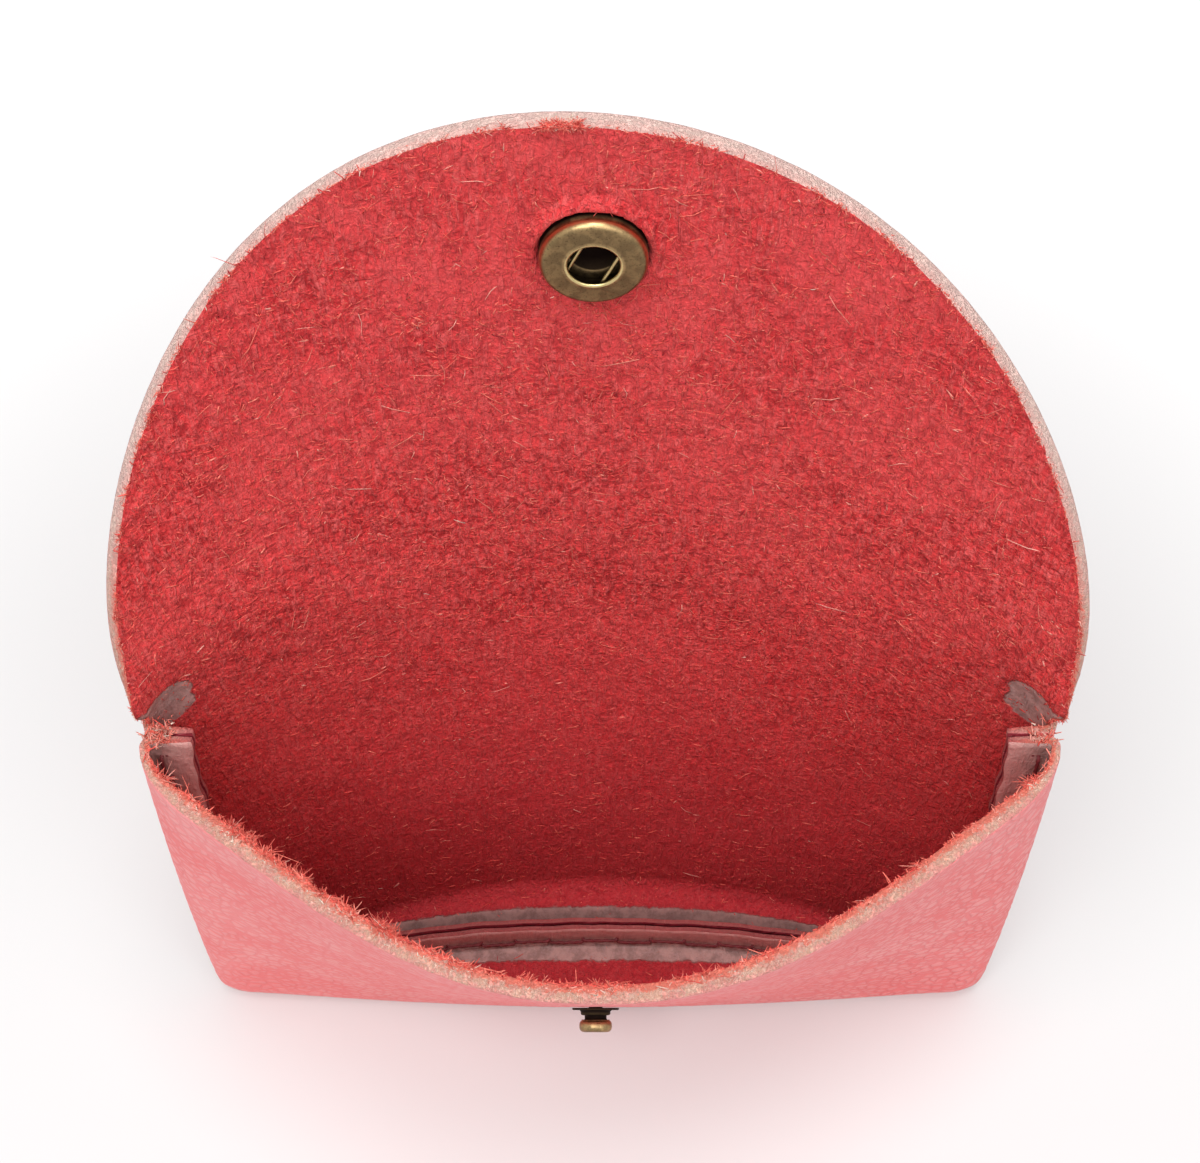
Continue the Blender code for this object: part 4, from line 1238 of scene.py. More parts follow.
def arc(middle, radius, start, end, steps, rubbed):
    """Profile points round an arc, its angles in degrees from the radius direction."""
    points = []
    for k in range(steps + 1):
        a = math.radians(start + (end - start) * k / steps)
        points.append((middle[0] + radius * math.cos(a), middle[1] + radius * math.sin(a), rubbed))
    return points


def wire_path(points, step, ease):
    """Even points along a bent line whose corners are eased over this length."""
    points = np.array(points, float)
    runs = np.concatenate([[0], np.cumsum(np.linalg.norm(np.diff(points, axis=0), axis=1))])
    even = np.linspace(0, runs[-1], max(8, int(runs[-1] / step)))
    dense = np.stack([np.interp(even, runs, points[:, k]) for k in range(3)], 1)
    reach = max(1, int(ease / step))
    padded = np.concatenate([np.repeat(dense[:1], reach, 0), dense, np.repeat(dense[-1:], reach, 0)])
    weights = np.hanning(2 * reach + 3)[1:-1]
    weights /= weights.sum()
    return np.stack([np.convolve(padded[:, k], weights, "valid") for k in range(3)], 1)


START_SIDE = (0.31, 0.87, 0.39)  # any way that no tube starts along
# How many rings round off the end of a tube, where the first one sits, and how long the rounding is
END_RINGS = 3
END_FIRST = 0.6
END_LENGTH = 3.4


def swept(name, path, radius, lobes, depth, pitch, marks=None):
    """A closed tube along a path. lobes and pitch give a twisted thread its strands."""
    ways = unit(np.gradient(path, axis=0))
    side = unit(np.cross(ways[0], START_SIDE))
    run = 0.0
    points = []
    count, sides = len(path), TUBE_SIDES
    for k in range(count):
        side = unit(side - ways[k] * float(side @ ways[k]))
        other = np.cross(ways[k], side)
        if k:
            run += float(np.linalg.norm(path[k] - path[k - 1]))
        end = min(k, count - 1 - k)
        wide = radius
        if end < END_RINGS:
            wide *= math.sqrt(1 - (1 - (end + END_FIRST) / END_LENGTH) ** 2)
        for n in range(sides):
            a = 2 * math.pi * n / sides
            r = wide * (1 - depth / 2 + depth / 2 * math.cos(lobes * a - 2 * math.pi * run / pitch))
            points.append(path[k] + side * (r * math.cos(a)) + other * (r * math.sin(a)))
    first = numbered_ring(count, sides)
    faces = first + [list(range(sides))[::-1], list(range((count - 1) * sides, count * sides))]
    return mesh_object(name, np.array(points), faces, marks)


def numbered_ring(height, sides):
    """Faces of a tube numbered ring by ring."""
    faces = []
    for k in range(height - 1):
        for n in range(sides):
            m = (n + 1) % sides
            faces.append([k * sides + n, k * sides + m, (k + 1) * sides + m, (k + 1) * sides + n])
    return faces


# What a user would change


class CardHolderLeather(bpy.types.PropertyGroup):
    grain_colour: FloatVectorProperty(
        name="Grain",
        description="Colour of the pebbled outside",
        subtype="COLOR",
        size=3,
        default=(0.95, 0.212, 0.212),
    )
    suede_colour: FloatVectorProperty(
        name="Suede",
        description="Colour of the raw flesh side",
        subtype="COLOR",
        size=3,
        default=(0.96, 0.072, 0.074),
    )
    skived_colour: FloatVectorProperty(
        name="Skived",
        description="Colour of the pared edges",
        subtype="COLOR",
        size=3,
        default=(0.58, 0.345, 0.310),
    )
    edge_colour: FloatVectorProperty(
        name="Cut edge",
        description="Colour of the raw cut edge",
        subtype="COLOR",
        size=3,
        default=(0.96, 0.51, 0.38),
    )
    pebble_size: FloatProperty(
        name="Pebble size",
        description="Width of one pebble of the grain",
        unit="LENGTH",
        default=0.0017,
        min=0.0003,
    )
    nap_tufts: IntProperty(name="Nap tufts", description="Short tufts on the suede", default=11500, min=0)
    nap_hairs: IntProperty(name="Nap hairs", description="Long hairs on the suede", default=1700, min=0)
    lip_fuzz: IntProperty(name="Lip fuzz", description="Fibres along the lip's edge", default=9000, min=0)
    lip_tufts: IntProperty(name="Lip tufts", description="Tufts along the lip's edge", default=46, min=0)
    flap_fuzz: IntProperty(name="Flap fuzz", description="Fibres along the flap's rim", default=9000, min=0)


class CardHolderSnap(bpy.types.PropertyGroup):
    brass_colour: FloatVectorProperty(
        name="Brass",
        description="Colour of the rubbed metal",
        subtype="COLOR",
        size=3,
        default=(0.42, 0.285, 0.135),
    )
    patina_colour: FloatVectorProperty(
        name="Patina",
        description="Colour of the metal's dark hollows",
        subtype="COLOR",
        size=3,
        default=(0.020, 0.011, 0.009),
    )


class CardHolderThread(bpy.types.PropertyGroup):
    thread_colour: FloatVectorProperty(
        name="Thread",
        description="Colour of the waxed thread",
        subtype="COLOR",
        size=3,
        default=(0.20, 0.025, 0.030),
    )
    twist: FloatProperty(
        name="Twist",
        description="Length of one turn of the thread",
        unit="LENGTH",
        default=0.0013,
        min=0.0003,
    )


class CardHolderStage(bpy.types.PropertyGroup):
    floor_colour: FloatVectorProperty(
        name="Floor",
        description="Colour of the floor",
        subtype="COLOR",
        size=3,
        default=(0.74, 0.74, 0.74),
    )
    key_power: FloatProperty(
        name="Key lamp", description="Power of the key lamp", unit="POWER", default=4.7, min=0.0
    )
    fill_power: FloatProperty(
        name="Fill lamp", description="Power of the fill lamp", unit="POWER", default=2.4, min=0.0
    )
    top_power: FloatProperty(
        name="Top lamp", description="Power of the top lamp", unit="POWER", default=3.0, min=0.0
    )


SHEETS = {}  # what the operators for the leather made, for those that raise its nap and fuzz


def leather_finishes(obj, look):
    for material in (grain_material(look), suede_material(look), edge_material(look)):
        obj.data.materials.append(material)


def roll_over(obj):
    """Bakes the transform of a piece of the rolling leather into its mesh."""
    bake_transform(obj)


def rolling_strands(name, *strand_values):
    """Strands on the rolling leather, as one piece up to the root strip's end and one beyond it."""
    above = strand_values[0][:, 2] > (ROLL_LEVELS[1] + ROLL_LEVELS[2]) / 2
    for part, chosen, beyond in (("low_" + name, ~above, False), ("high_" + name, above, True)):
        roll_over(strands(part, *(values[chosen] for values in strand_values)))


# The ring's seat: how near the leather's middle counts, how its edge falls off, how the painted shade under
# the ring fades at it, and the hollow at the post
SEAT_REACH = 0.002
SEAT_MARGIN = 0.00015
SEAT_EDGE = 0.0005
SEAT_SHADE_EDGE = 0.0004
HOLLOW_DEPTH = 0.00185
HOLLOW_EDGE = 0.0009
# The welt of suede pushed up round it, least below the ring and most above it
WELT_LEAST = 0.00025
WELT_MORE = 0.00065
WELT_FROM = 0.001
WELT_RUN = 0.004
WELT_OUT = 0.0009
WELT_WIDTH = 0.0007


def seat_of_ring(sheet):
    """How far the ring presses into the flesh side at each point, and how much painted shade darkens it
    there.
    """
    at = flap_frame()
    local = (sheet.points - np.array(at.translation)) @ np.array(at)[:3, :3]
    away = np.hypot(local[:, 0], local[:, 1])
    near = np.abs(local[:, 2] + LEATHER) < SEAT_REACH
    edge = away - RING_RADIUS + SEAT_MARGIN
    pressed = SEAT_DEPTH * (1 - smooth(edge / SEAT_EDGE)) * near
    hollow = (HOLLOW_DEPTH - SEAT_DEPTH) * (1 - smooth((away - POST_BORE) / HOLLOW_EDGE)) * near
    welt = WELT_LEAST + WELT_MORE * smooth((local[:, 1] + WELT_FROM) / WELT_RUN)
    raised = welt * np.exp(-(((edge - WELT_OUT) / WELT_WIDTH) ** 2)) * near
    return pressed + hollow - raised, (1 - smooth(edge / SEAT_SHADE_EDGE)) * near


# Size and depth of the leather's lumps: on the flesh side, in the flap's slow waves, and on the grain
FLESH_LUMPS = (0.0021, 0.00010)
SLOW_WAVES = (0.012, 0.00022)
BACK_GRAIN_LUMPS = (0.0016, 0.00006)
FRONT_GRAIN_LUMPS = (0.0016, 0.00007)
CUT_ROWS = 6  # rows over which the lumps fade towards the cut of the two sheets
LUMPS_FROM = 0.001
LUMPS_RISE = 0.004
# Painted shade on the pared leather low on the back panel: how dark, and up to what height
BASE_SHADE = 0.50
BASE_SHADE_TOP = 0.02


def lumps(sheet, kind, seed, share):
    """Unevenness of the leather at each of its points, in metres."""
    size, depth = kind
    return depth * soft_noise(sheet.points, size, seed) * share


def off_the_seam(sheet):
    """1 on the faces of the leather and 0 in its seam and at its base."""
    return (1 - sheet.seam) * smooth((sheet.points[:, 2] - LUMPS_FROM) / LUMPS_RISE)


class CARDHOLDER_OT_back_and_flap(bpy.types.Operator):
    """Build the back panel and the half-moon flap, which are one piece of leather"""

    bl_idname = "cardholder.back_and_flap"
    bl_label = "Back and flap"

    def execute(self, context):
        look = context.scene.card_holder_leather
        sheet = panel_sheet(BACK)
        add_flap(sheet)
        away = 1 - sheet.skive
        rows_off = np.abs(np.arange(len(away)) - sheet.strip_end.mean()) / len(sheet.strip_end)
        off_the_cut = smooth(rows_off / CUT_ROWS)
        flesh = lumps(sheet, FLESH_LUMPS, 1, away * off_the_cut) + lumps(sheet, SLOW_WAVES, 5, away)
        grain = lumps(sheet, BACK_GRAIN_LUMPS, 2, off_the_seam(sheet)) * off_the_cut
        seat, stain = seat_of_ring(sheet)
        # Painted shade on the pared leather low on the back panel, deep inside the pouch
        base = BASE_SHADE * sheet.skive * (sheet.seam == 0) * (sheet.points[:, 2] < BASE_SHADE_TOP)
        names = ("back_leather", "flap_leather")
        back, flap = sheet.finish(names, flesh + seat, grain, np.maximum(stain, base))
        for obj in (back, flap):
            leather_finishes(obj, look)
            roll_over(obj)
        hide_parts("back_panel", "flap_root")
        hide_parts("flap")
        SHEETS["back"] = sheet
        return {"FINISHED"}


class CARDHOLDER_OT_front_panel(bpy.types.Operator):
    """Build the front panel with its bowed lip"""

    bl_idname = "cardholder.front_panel"
    bl_label = "Front panel"

    def execute(self, context):
        look = context.scene.card_holder_leather
        sheet = panel_sheet(FRONT)
        flesh = lumps(sheet, FLESH_LUMPS, 6, 1 - sheet.skive)
        grain = lumps(sheet, FRONT_GRAIN_LUMPS, 7, off_the_seam(sheet))
        (obj,) = sheet.finish(("front_leather",), flesh, grain, np.zeros(len(flesh)))
        leather_finishes(obj, look)
        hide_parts("front_panel")
        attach(obj, "pouch")
        SHEETS["front"] = sheet
        return {"FINISHED"}


# Fibres of the nap: the range of their length, radius and lift, and the middle and spread of their tone
TUFTS = ((0.0003, 0.0010), (0.00006, 0.00012), (0.05, 0.60), (0.52, 0.12))
HAIRS = ((0.0007, 0.0028), (0.00004, 0.00007), (0.05, 0.35), (0.66, 0.10))
FRONT_SHARE = 5  # the front's inside has one tuft for so many of the back's
NAP_OFF_RING = 0.0006
NAP_FROM = 0.045
NAP_RISE = 0.05
NAP_LOW = 0.30
NAP_PARED = 0.85
# Patches with more tufts and with fewer: their size, the middle and spread of their share, and its range
FLAKE_SIZE = 0.0035
FLAKE_MIDDLE = 0.7
FLAKE_SPREAD = 3.0
FLAKE_RANGE = (0.12, 2.5)


class CARDHOLDER_OT_nap(bpy.types.Operator):
    """Scatter the tufts and loose hairs of the suede over the flap and the inside of the pouch"""

    bl_idname = "cardholder.nap"
    bl_label = "Suede nap"

    def execute(self, context):
        look = context.scene.card_holder_leather
        back, front = SHEETS["back"], SHEETS["front"]
        plan = (
            ("nap_tufts", back, look.nap_tufts, TUFTS, 11),
            ("nap_more_tufts", back, look.nap_tufts, TUFTS, 14),
            ("nap_hairs", back, look.nap_hairs, HAIRS, 12),
            ("front_nap", front, look.nap_tufts // FRONT_SHARE, TUFTS, 13),
        )
        at = np.array(flap_frame().translation)
        for name, sheet, count, kind, seed in plan:
            quads = sheet.quads[np.all(sheet.seam[sheet.quads] == 0, axis=1)]
            middle = sheet.flesh[quads].mean(1)
            clear = np.linalg.norm(middle - at, axis=1) > RING_RADIUS + NAP_OFF_RING
            height = NAP_LOW + (1 - NAP_LOW) * smooth((middle[:, 2] - NAP_FROM) / NAP_RISE)
            flakes = FLAKE_MIDDLE + FLAKE_SPREAD * soft_noise(middle, FLAKE_SIZE, seed)
            flakes = np.clip(flakes, *FLAKE_RANGE)
            density = height * (1 - NAP_PARED * sheet.skive[quads[:, 0]]) * clear * flakes
            values = nap(sheet, quads, density, count, *kind, seed)
            if sheet is back:
                rolling_strands(name, *values)
            else:
                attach(strands(name, *values), "pouch")
        return {"FINISHED"}


TUFT = 26  # fibres in one tuft
TUFT_SPREAD = 0.24
TUFT_WIDTH = 0.16
TUFT_FINE = 0.62  # how fine its fibres are beside the others
TUFT_UP = 0.4  # how far down the cut they root beside the others
TUFT_HEIGHTS = (0.35, 1.0)  # of a tuft beside the tallest, and of a fibre beside its tuft
TUFT_LOW = 1.5  # the larger, the more of the tufts are low
# Stretches of the edge with many fibres and with few: their length, the least share, the spread and its power
BUNCH_SIZE = 0.0022
BUNCH_LEAST = 0.22
BUNCH_SPREAD = 1.8
BUNCH_POWER = 1.6
# Stretches where fibres lean one way or the other along the edge
LEAN_SIZE = 0.0019
LEAN = 0.8
FUZZ_ROOT = 0.00005
# How far down the cut fibres root: two powers, the larger the second the nearer to its flesh corner
ROOTS_DOWN = (0.7, 2.6)
ROOTS_REACH = 0.9
# How far a fibre points out of the edge, up from the suede, and to either side
FUZZ_OUT = (0.1, 0.8)
FUZZ_UP = (-0.1, 0.9)
FUZZ_ASIDE = 0.7
# Fibres in no tuft: the longest beside a tuft's, how few are so long, and how much shorter low ones are
LOOSE_LONGEST = 0.6
LOOSE_SHORT = 10
LOW_SHORTER = 0.6
# How far a fibre bends along the edge, up from the suede and out of the edge
BEND_ASIDE = 0.8
BEND_UP = 0.5
BEND_OUT = (-0.2, 0.4)
# Low fibres are paler: from where on, and by how much
PALER_FROM = 0.15
PALER = 0.55
# Fibres of the lip and of the flap's rim: the range of their length and radius, and their tone
LIP_FIBRES = ((0.0003, 0.0019), (0.00006, 0.00013), (0.74, 0.07))
RIM_FIBRES = ((0.0003, 0.0008), (0.00004, 0.00009), (0.72, 0.12))
RIM_TUFTS = 70
RIM_FROM = 0.0005
# Where the front panel's lip is most ragged and where it is least, and how much so on the three stretches
LIP_FRONT = -0.0022
LIP_RAGGED = (-0.042, -0.012)
LIP_SMOOTH = 0.006
LIP_SHARES = (2.4, 1.2, 0.7)


def fuzz(sheet, weight, count, tufts, length, radius, tone, seed):
    """What strands() needs for ragged fibres on a cut edge, most on its flesh corner and some in tufts."""
    draw = np.random.default_rng(seed)
    walk = sheet.walk
    places = sheet.points[walk]
    bunched = np.maximum(BUNCH_LEAST, 1 + BUNCH_SPREAD * soft_noise(places, BUNCH_SIZE, seed)) ** BUNCH_POWER
    share = weight(places) * bunched
    picked = draw.choice(len(walk), count, p=share / share.sum())
    bound = tufts * TUFT
    picked[:bound] = np.repeat(draw.choice(len(walk), tufts, p=share / share.sum()), TUFT)
    following = (picked + 1) % len(walk)
    along = draw.random((count, 1))
    normals = -sheet.normals[walk[picked]]
    out = sheet.out[picked]
    line = unit(sheet.points[walk[following]] - sheet.points[walk[picked]])
    lean = soft_noise(places, LEAN_SIZE, seed + 1)[picked][:, None] * LEAN
    down = draw.beta(*ROOTS_DOWN, (count, 1))
    down[:bound] *= TUFT_UP
    middles = np.repeat(draw.random((tufts, 1)), TUFT, axis=0)
    along[:bound] = middles + draw.normal(0, TUFT_WIDTH, (bound, 1))
    ways = unit(
        out * draw.uniform(*FUZZ_OUT, (count, 1))
        + normals * draw.uniform(*FUZZ_UP, (count, 1))
        + line * (lean + draw.normal(0, FUZZ_ASIDE, (count, 1)))
    )
    corner = sheet.flesh[walk[picked]] * (1 - along) + sheet.flesh[walk[following]] * along
    roots = corner * (1 - down * ROOTS_REACH) + sheet.grain[walk[picked]] * down * ROOTS_REACH
    shared = np.repeat(ways[:bound:TUFT], TUFT, axis=0)
    ways[:bound] = unit(shared + TUFT_SPREAD * draw.normal(size=(bound, 3)))
    lengths = length[0] + (length[1] - length[0]) * LOOSE_LONGEST * draw.random(count) ** LOOSE_SHORT
    lengths *= 1 - LOW_SHORTER * down[:, 0]
    tall = np.repeat(draw.uniform(*TUFT_HEIGHTS, tufts) ** TUFT_LOW * length[1], TUFT)
    lengths[:bound] = tall * draw.uniform(*TUFT_HEIGHTS, bound)
    radii = draw.uniform(*radius, count)
    radii[:bound] *= TUFT_FINE
    curls = line * draw.normal(0, BEND_ASIDE, (count, 1)) + normals * draw.normal(0, BEND_UP, (count, 1))
    curls += out * draw.normal(*BEND_OUT, (count, 1))
    tones = np.clip(draw.normal(*tone, count) + (down[:, 0] - PALER_FROM) * PALER, 0.0, 1.0)
    return roots - out * FUZZ_ROOT, ways, lengths, radii, curls, tones


# Each mouth corner's curls: their side and number, how far they lie in from it, and their sizes
CURLS = (("left_corner_curls", -1, 190), ("right_corner_curls", 1, 60))
CURLS_IN = 0.0004
CURLS_RUN = 0.0030
CURLS_DEEP = 0.0008
CURLS_SUNK = 0.0002
CURLS_RISE = 0.0004
CURL_LENGTH = (0.0003, 0.0010)
CURL_RADIUS = (0.00006, 0.00013)
CURL_TONE = (0.80, 0.10)
# How far they point to either side, to the front or back, and up, and how far they bend
CURL_ASIDE = 0.7
CURL_FORWARD = 0.9
CURL_UP = (0.1, 1.0)
CURL_BEND = (0.5, 1.2)


def corner_curls(name, hand, count, seed):
    """Curly fibres where the seam ends at a mouth corner."""
    draw = np.random.default_rng(seed)
    x = hand * (MOUTH_HALF - CURLS_IN - CURLS_RUN * draw.random(count))
    y = draw.normal(0.0, CURLS_DEEP, count)
    z = SEAM_HEIGHT - CURLS_SUNK + CURLS_RISE * draw.random(count)
    across, forward = draw.normal(0, CURL_ASIDE, count), draw.normal(0, CURL_FORWARD, count)
    ways = unit(np.stack([across, forward, draw.uniform(*CURL_UP, count)], 1))
    curls = unit(draw.normal(size=(count, 3))) * draw.uniform(*CURL_BEND, (count, 1))
    lengths = draw.uniform(*CURL_LENGTH, count)
    radii = draw.uniform(*CURL_RADIUS, count)
    tones = np.clip(draw.normal(*CURL_TONE, count), 0.0, 1.0)
    return strands(name, np.stack([x, y, z], 1), ways, lengths, radii, curls, tones)


class CARDHOLDER_OT_edge_fuzz(bpy.types.Operator):
    """Raise the ragged fuzz along the lip, the rim of the flap and the ends of the seam"""

    bl_idname = "cardholder.edge_fuzz"
    bl_label = "Edge fuzz"

    def execute(self, context):
        look = context.scene.card_holder_leather
        back, front = SHEETS["back"], SHEETS["front"]

        def lip(p):
            ragged = (p[:, 0] > LIP_RAGGED[0]) & (p[:, 0] < LIP_RAGGED[1])
            most, some, least = LIP_SHARES
            return (p[:, 1] < LIP_FRONT) * np.where(ragged, most, np.where(p[:, 0] < LIP_SMOOTH, some, least))

        def rim_of_flap(p):
            return (p[:, 2] > SEAM_HEIGHT + RIM_FROM) * 1.0

        values = fuzz(front, lip, look.lip_fuzz, look.lip_tufts, *LIP_FIBRES, 21)
        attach(strands("lip_fuzz", *values), "pouch")
        for name, hand, count in CURLS:
            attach(corner_curls(name, hand, count, 23 + hand), "pouch")
        values = fuzz(back, rim_of_flap, look.flap_fuzz, RIM_TUFTS, *RIM_FIBRES, 22)
        rolling_strands("flap_fuzz", *values)
        return {"FINISHED"}


def stitch_runs():
    """Runs along the seam of its awl holes, from the left mouth corner round to the right one."""
    whole = 2 * (WHOLE_RUN - END_CLEAR)
    count = max(2, round(whole / STITCH))
    return [-WHOLE_RUN + END_CLEAR + whole * k / count for k in range(count + 1)]


def stitch_place(run, inward, off):
    """A point by the stitch line, inward from the turned fold and off the seam front to back."""
    hand = math.copysign(1, run)
    u = min(abs(run) / CORNER_MIDDLE, 1.0)
    return seam_places(hand, abs(run), u, TURN + inward, off)


THREAD_EASE = 0.6  # how far before and behind its hole a thread starts to turn, per diameter
THREAD_STRANDS = 3
THREAD_GROOVE = 0.32
THREAD_STEP = 0.00012
THREAD_BEND = 0.0003


class CARDHOLDER_OT_saddle_threads(bpy.types.Operator):
    """Sew the two waxed threads through the seam"""

    bl_idname = "cardholder.saddle_threads"
    bl_label = "Saddle threads"

    def execute(self, context):
        look = context.scene.card_holder_thread
        face = TOUCH / 2 + SKIVED + THREAD_CLEAR + THREAD / 2
        ease = THREAD * THREAD_EASE
        for name, hand in (("first_saddle_thread", -1), ("second_saddle_thread", 1)):
            inward = STITCH_IN + hand * THREAD_SPREAD
            points = []
            for k, run in enumerate(stitch_runs()):
                comes = hand * (1 if k % 2 else -1) * face
                near = comes - math.copysign(ease, comes)
                if k:
                    points.append(stitch_place(run - ease, inward, comes))
                points.append(stitch_place(run, inward, near))
                points.append(stitch_place(run, inward, -near))
                points.append(stitch_place(run + ease, inward, -comes))
            path = wire_path(points[:-1], THREAD_STEP, THREAD_BEND)
            obj = swept(name + "_twisted", path, THREAD / 2, THREAD_STRANDS, THREAD_GROOVE, look.twist)
            obj.data.materials.append(thread_material(look))
            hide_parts(name)
            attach(obj, "pouch")
        return {"FINISHED"}


def dress_metal(obj, look, node, body):
    obj.data.materials.append(brass_material(look))
    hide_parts(node)
    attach(obj, body)


CHAMFER = 0.0001
# The ring: radius of its hole's rolled lip, where its face starts and where it is level, and how low it lies
RING_LIP = 0.00022
FACE_FROM = 0.0004
FACE_LEVEL = 0.0006
RING_DISH = 0.00006
# Heights above which its skirt shows worn brass, and below which it is dark with patina and painted shade,
# and the radius of its crimped corner
SKIRT_RUBBED = 0.0009
SKIRT_PATINA_AND_SHADE = 0.0005
CRIMP_ROUND = 0.0002
# How far its shoulder rounds off inwards and down
SHOULDER_IN = 0.0006
SHOULDER_DROP = 0.0008
SHOULDER_TURNS = [math.radians(9 * k) for k in range(11)]
POST_END = -0.0015  # where the bore of the cap's post ends
CAP_EDGE = 0.0003
CAP_ROUND = 0.80
CAP_STEPS = 14
SPRING_STEPS = 18
SPRING_STEP = 0.00015
SPRING_BEND = 0.0006
SPRING_WEAR_AND_LIGHT = 0.9


def shoulder(radius, inward, top, rubbed, brighter):
    """Profile points of a rolled shoulder, from its top out and down to its side, its wear value rising
    towards the side for a painted highlight.
    """
    points = []
    for t in SHOULDER_TURNS:
        r = radius - inward * (1 - math.sin(t))
        points.append((r, top - SHOULDER_DROP * (1 - math.cos(t)), rubbed + brighter * math.sin(t) ** 2))
    return points


def ring_profile():
    """The ring: the rolled lip of its hole, its face, shoulder and skirt, and the crimp under the plate."""
    # The lip of the hole and the outside of the shoulder reach the wear at which the brass takes a painted
    # highlight
    ring = arc((RING_HOLE + RING_LIP, RING_HEIGHT - RING_LIP), RING_LIP, 180, 90, 5, 0.95)
    ring += [(RING_HOLE + FACE_FROM, RING_HEIGHT - 0.00002, 0.75)]
    ring += [(RING_HOLE + FACE_LEVEL, RING_HEIGHT - RING_DISH, 0.45)]
    ring += shoulder(RING_RADIUS, SHOULDER_IN, RING_HEIGHT - RING_DISH, 0.55, 0.40)
    # Low on the skirt the brass is dark: patina, and painted shade where it sinks into the leather
    ring += [(RING_RADIUS, SKIRT_RUBBED, 0.5), (RING_RADIUS, SKIRT_PATINA_AND_SHADE, 0.0)]
    ring += [(RING_RADIUS, CRIMP_LOW + CRIMP_ROUND, 0.0), (RING_RADIUS - CRIMP_ROUND, CRIMP_LOW, 0.0)]
    ring += [(CRIMP_RADIUS, CRIMP_LOW, 0.0), (CRIMP_RADIUS, CRIMP_TOP, 0.0)]
    ring += [(SKIRT_INSIDE, CRIMP_TOP, 0.0)]
    ring += reversed(shoulder(SKIRT_INSIDE, SHOULDER_IN - METAL, FACE_INSIDE, 0.0, 0.0))
    ring += [(RING_HOLE + 0.0003, FACE_INSIDE, 0.1), (RING_HOLE, FACE_INSIDE + 0.00004, 0.5)]
    return ring


def plate_profile():
    """The washer behind the ring."""
    hole = POST_RADIUS + SNAP_CLEAR
    plate = [(hole, PLATE_TOP, 0.3), (hole, PLATE_LOW, 0.1)]
    plate += [(PLATE_RADIUS, PLATE_LOW, 0.1), (PLATE_RADIUS, PLATE_TOP, 0.3)]
    return plate


def cap_profile():
    """The cap: its hollow post, flared over the plate, and its dome on the grain side."""
    low = PLATE_TOP + SNAP_CLEAR / 2
    top = low + METAL
    cap = [(0.0, POST_END, 0.0), (POST_BORE, POST_END, 0.0), (POST_BORE, top - CHAMFER, 0.05)]
    cap += [(POST_BORE + CHAMFER, top, 0.5), (FLARE_RADIUS - CHAMFER, top, 0.4)]
    cap += [(FLARE_RADIUS, top - CHAMFER, 0.4), (FLARE_RADIUS, low, 0.2)]
    cap += [(POST_RADIUS, low, 0.1), (POST_RADIUS, UNDER_LEATHER, 0.1)]
    cap += [(CAP_RADIUS * 0.95, UNDER_LEATHER, 0.2), (CAP_RADIUS * 0.99, UNDER_LEATHER - 0.00008, 0.6)]
    # The cap's rim and crown reach the wear at which the brass takes a painted highlight
    cap += [(CAP_RADIUS, UNDER_LEATHER - CAP_EDGE, 0.95)]
    for k in range(1, CAP_STEPS + 1):
        t = k / CAP_STEPS
        r = CAP_RADIUS * math.cos(t * math.pi / 2) ** CAP_ROUND
        z = UNDER_LEATHER - CAP_EDGE - (CAP_CROWN - CAP_EDGE) * math.sin(t * math.pi / 2)
        cap.append((r if k < CAP_STEPS else 0.0, z, 0.75 + 0.2 * t))
    return cap


def bent_spring(at):
    """The wire spring: two bars across the ring's hole, joined by a bend under its face."""
    bar = math.sqrt(SPRING_RADIUS**2 - BAR_OFFSET**2)
    start = math.atan2(bar, -BAR_OFFSET)
    finish = math.atan2(-bar, BAR_OFFSET)
    line = [(-BAR_OFFSET, -bar * 0.9), (-BAR_OFFSET, -bar * 0.3), (-BAR_OFFSET, bar * 0.8)]
    for k in range(1, SPRING_STEPS):
        a = start + (finish - start) * k / SPRING_STEPS
        line.append((SPRING_RADIUS * math.cos(a), SPRING_RADIUS * math.sin(a)))
    line += [(BAR_OFFSET, -bar * 0.8), (BAR_OFFSET, bar * 0.3), (BAR_OFFSET, bar * 0.55)]
    points = np.array([(x, y, SPRING_LEVEL) for x, y in line])
    points = to_world(points, at @ Matrix.Rotation(SPRING_SLANT, 4, "Z"))
    path = wire_path(points, SPRING_STEP, SPRING_BEND)
    # The spring's wear is high enough for the brass's painted highlight
    rubbed = np.full(len(path) * TUBE_SIDES, SPRING_WEAR_AND_LIGHT)
    return swept("snap_spring", path, WIRE / 2, 1, 0.0, 1.0, {"rubbed": rubbed})


class CARDHOLDER_OT_snap_socket(bpy.types.Operator):
    """Set the snap's ring, plate, spring and domed cap in the flap"""

    bl_idname = "cardholder.snap_socket"
    bl_label = "Snap socket"

    def execute(self, context):
        look = context.scene.card_holder_snap
        at = flap_frame()
        dress_metal(turned("snap_ring", ring_profile(), at), look, "socket_shell", "flap")
        dress_metal(turned("snap_plate", plate_profile(), at), look, "socket_plate", "flap")
        dress_metal(turned("snap_cap_dome", cap_profile(), at), look, "snap_cap", "flap")
        dress_metal(bent_spring(at), look, "socket_spring", "flap")
        return {"FINISHED"}


# The stud's head: steps of its rounded side, how many flutes it has, and how deep they are
HEAD_STEPS = 13
FLUTES = 16
FLUTE_DEPTH = 0.00016
COLLAR_CHAMFER = 0.00012
STUD_FILLET = 0.0002
BORE_ROOF = METAL * 2  # metal left over the stud's bore
RIVET_DOME = METAL * 1.5


def fuller(share, power):
    """A sine or cosine, nearer to 1 or -1 than on a circle."""
    return math.copysign(abs(share) ** power, share)


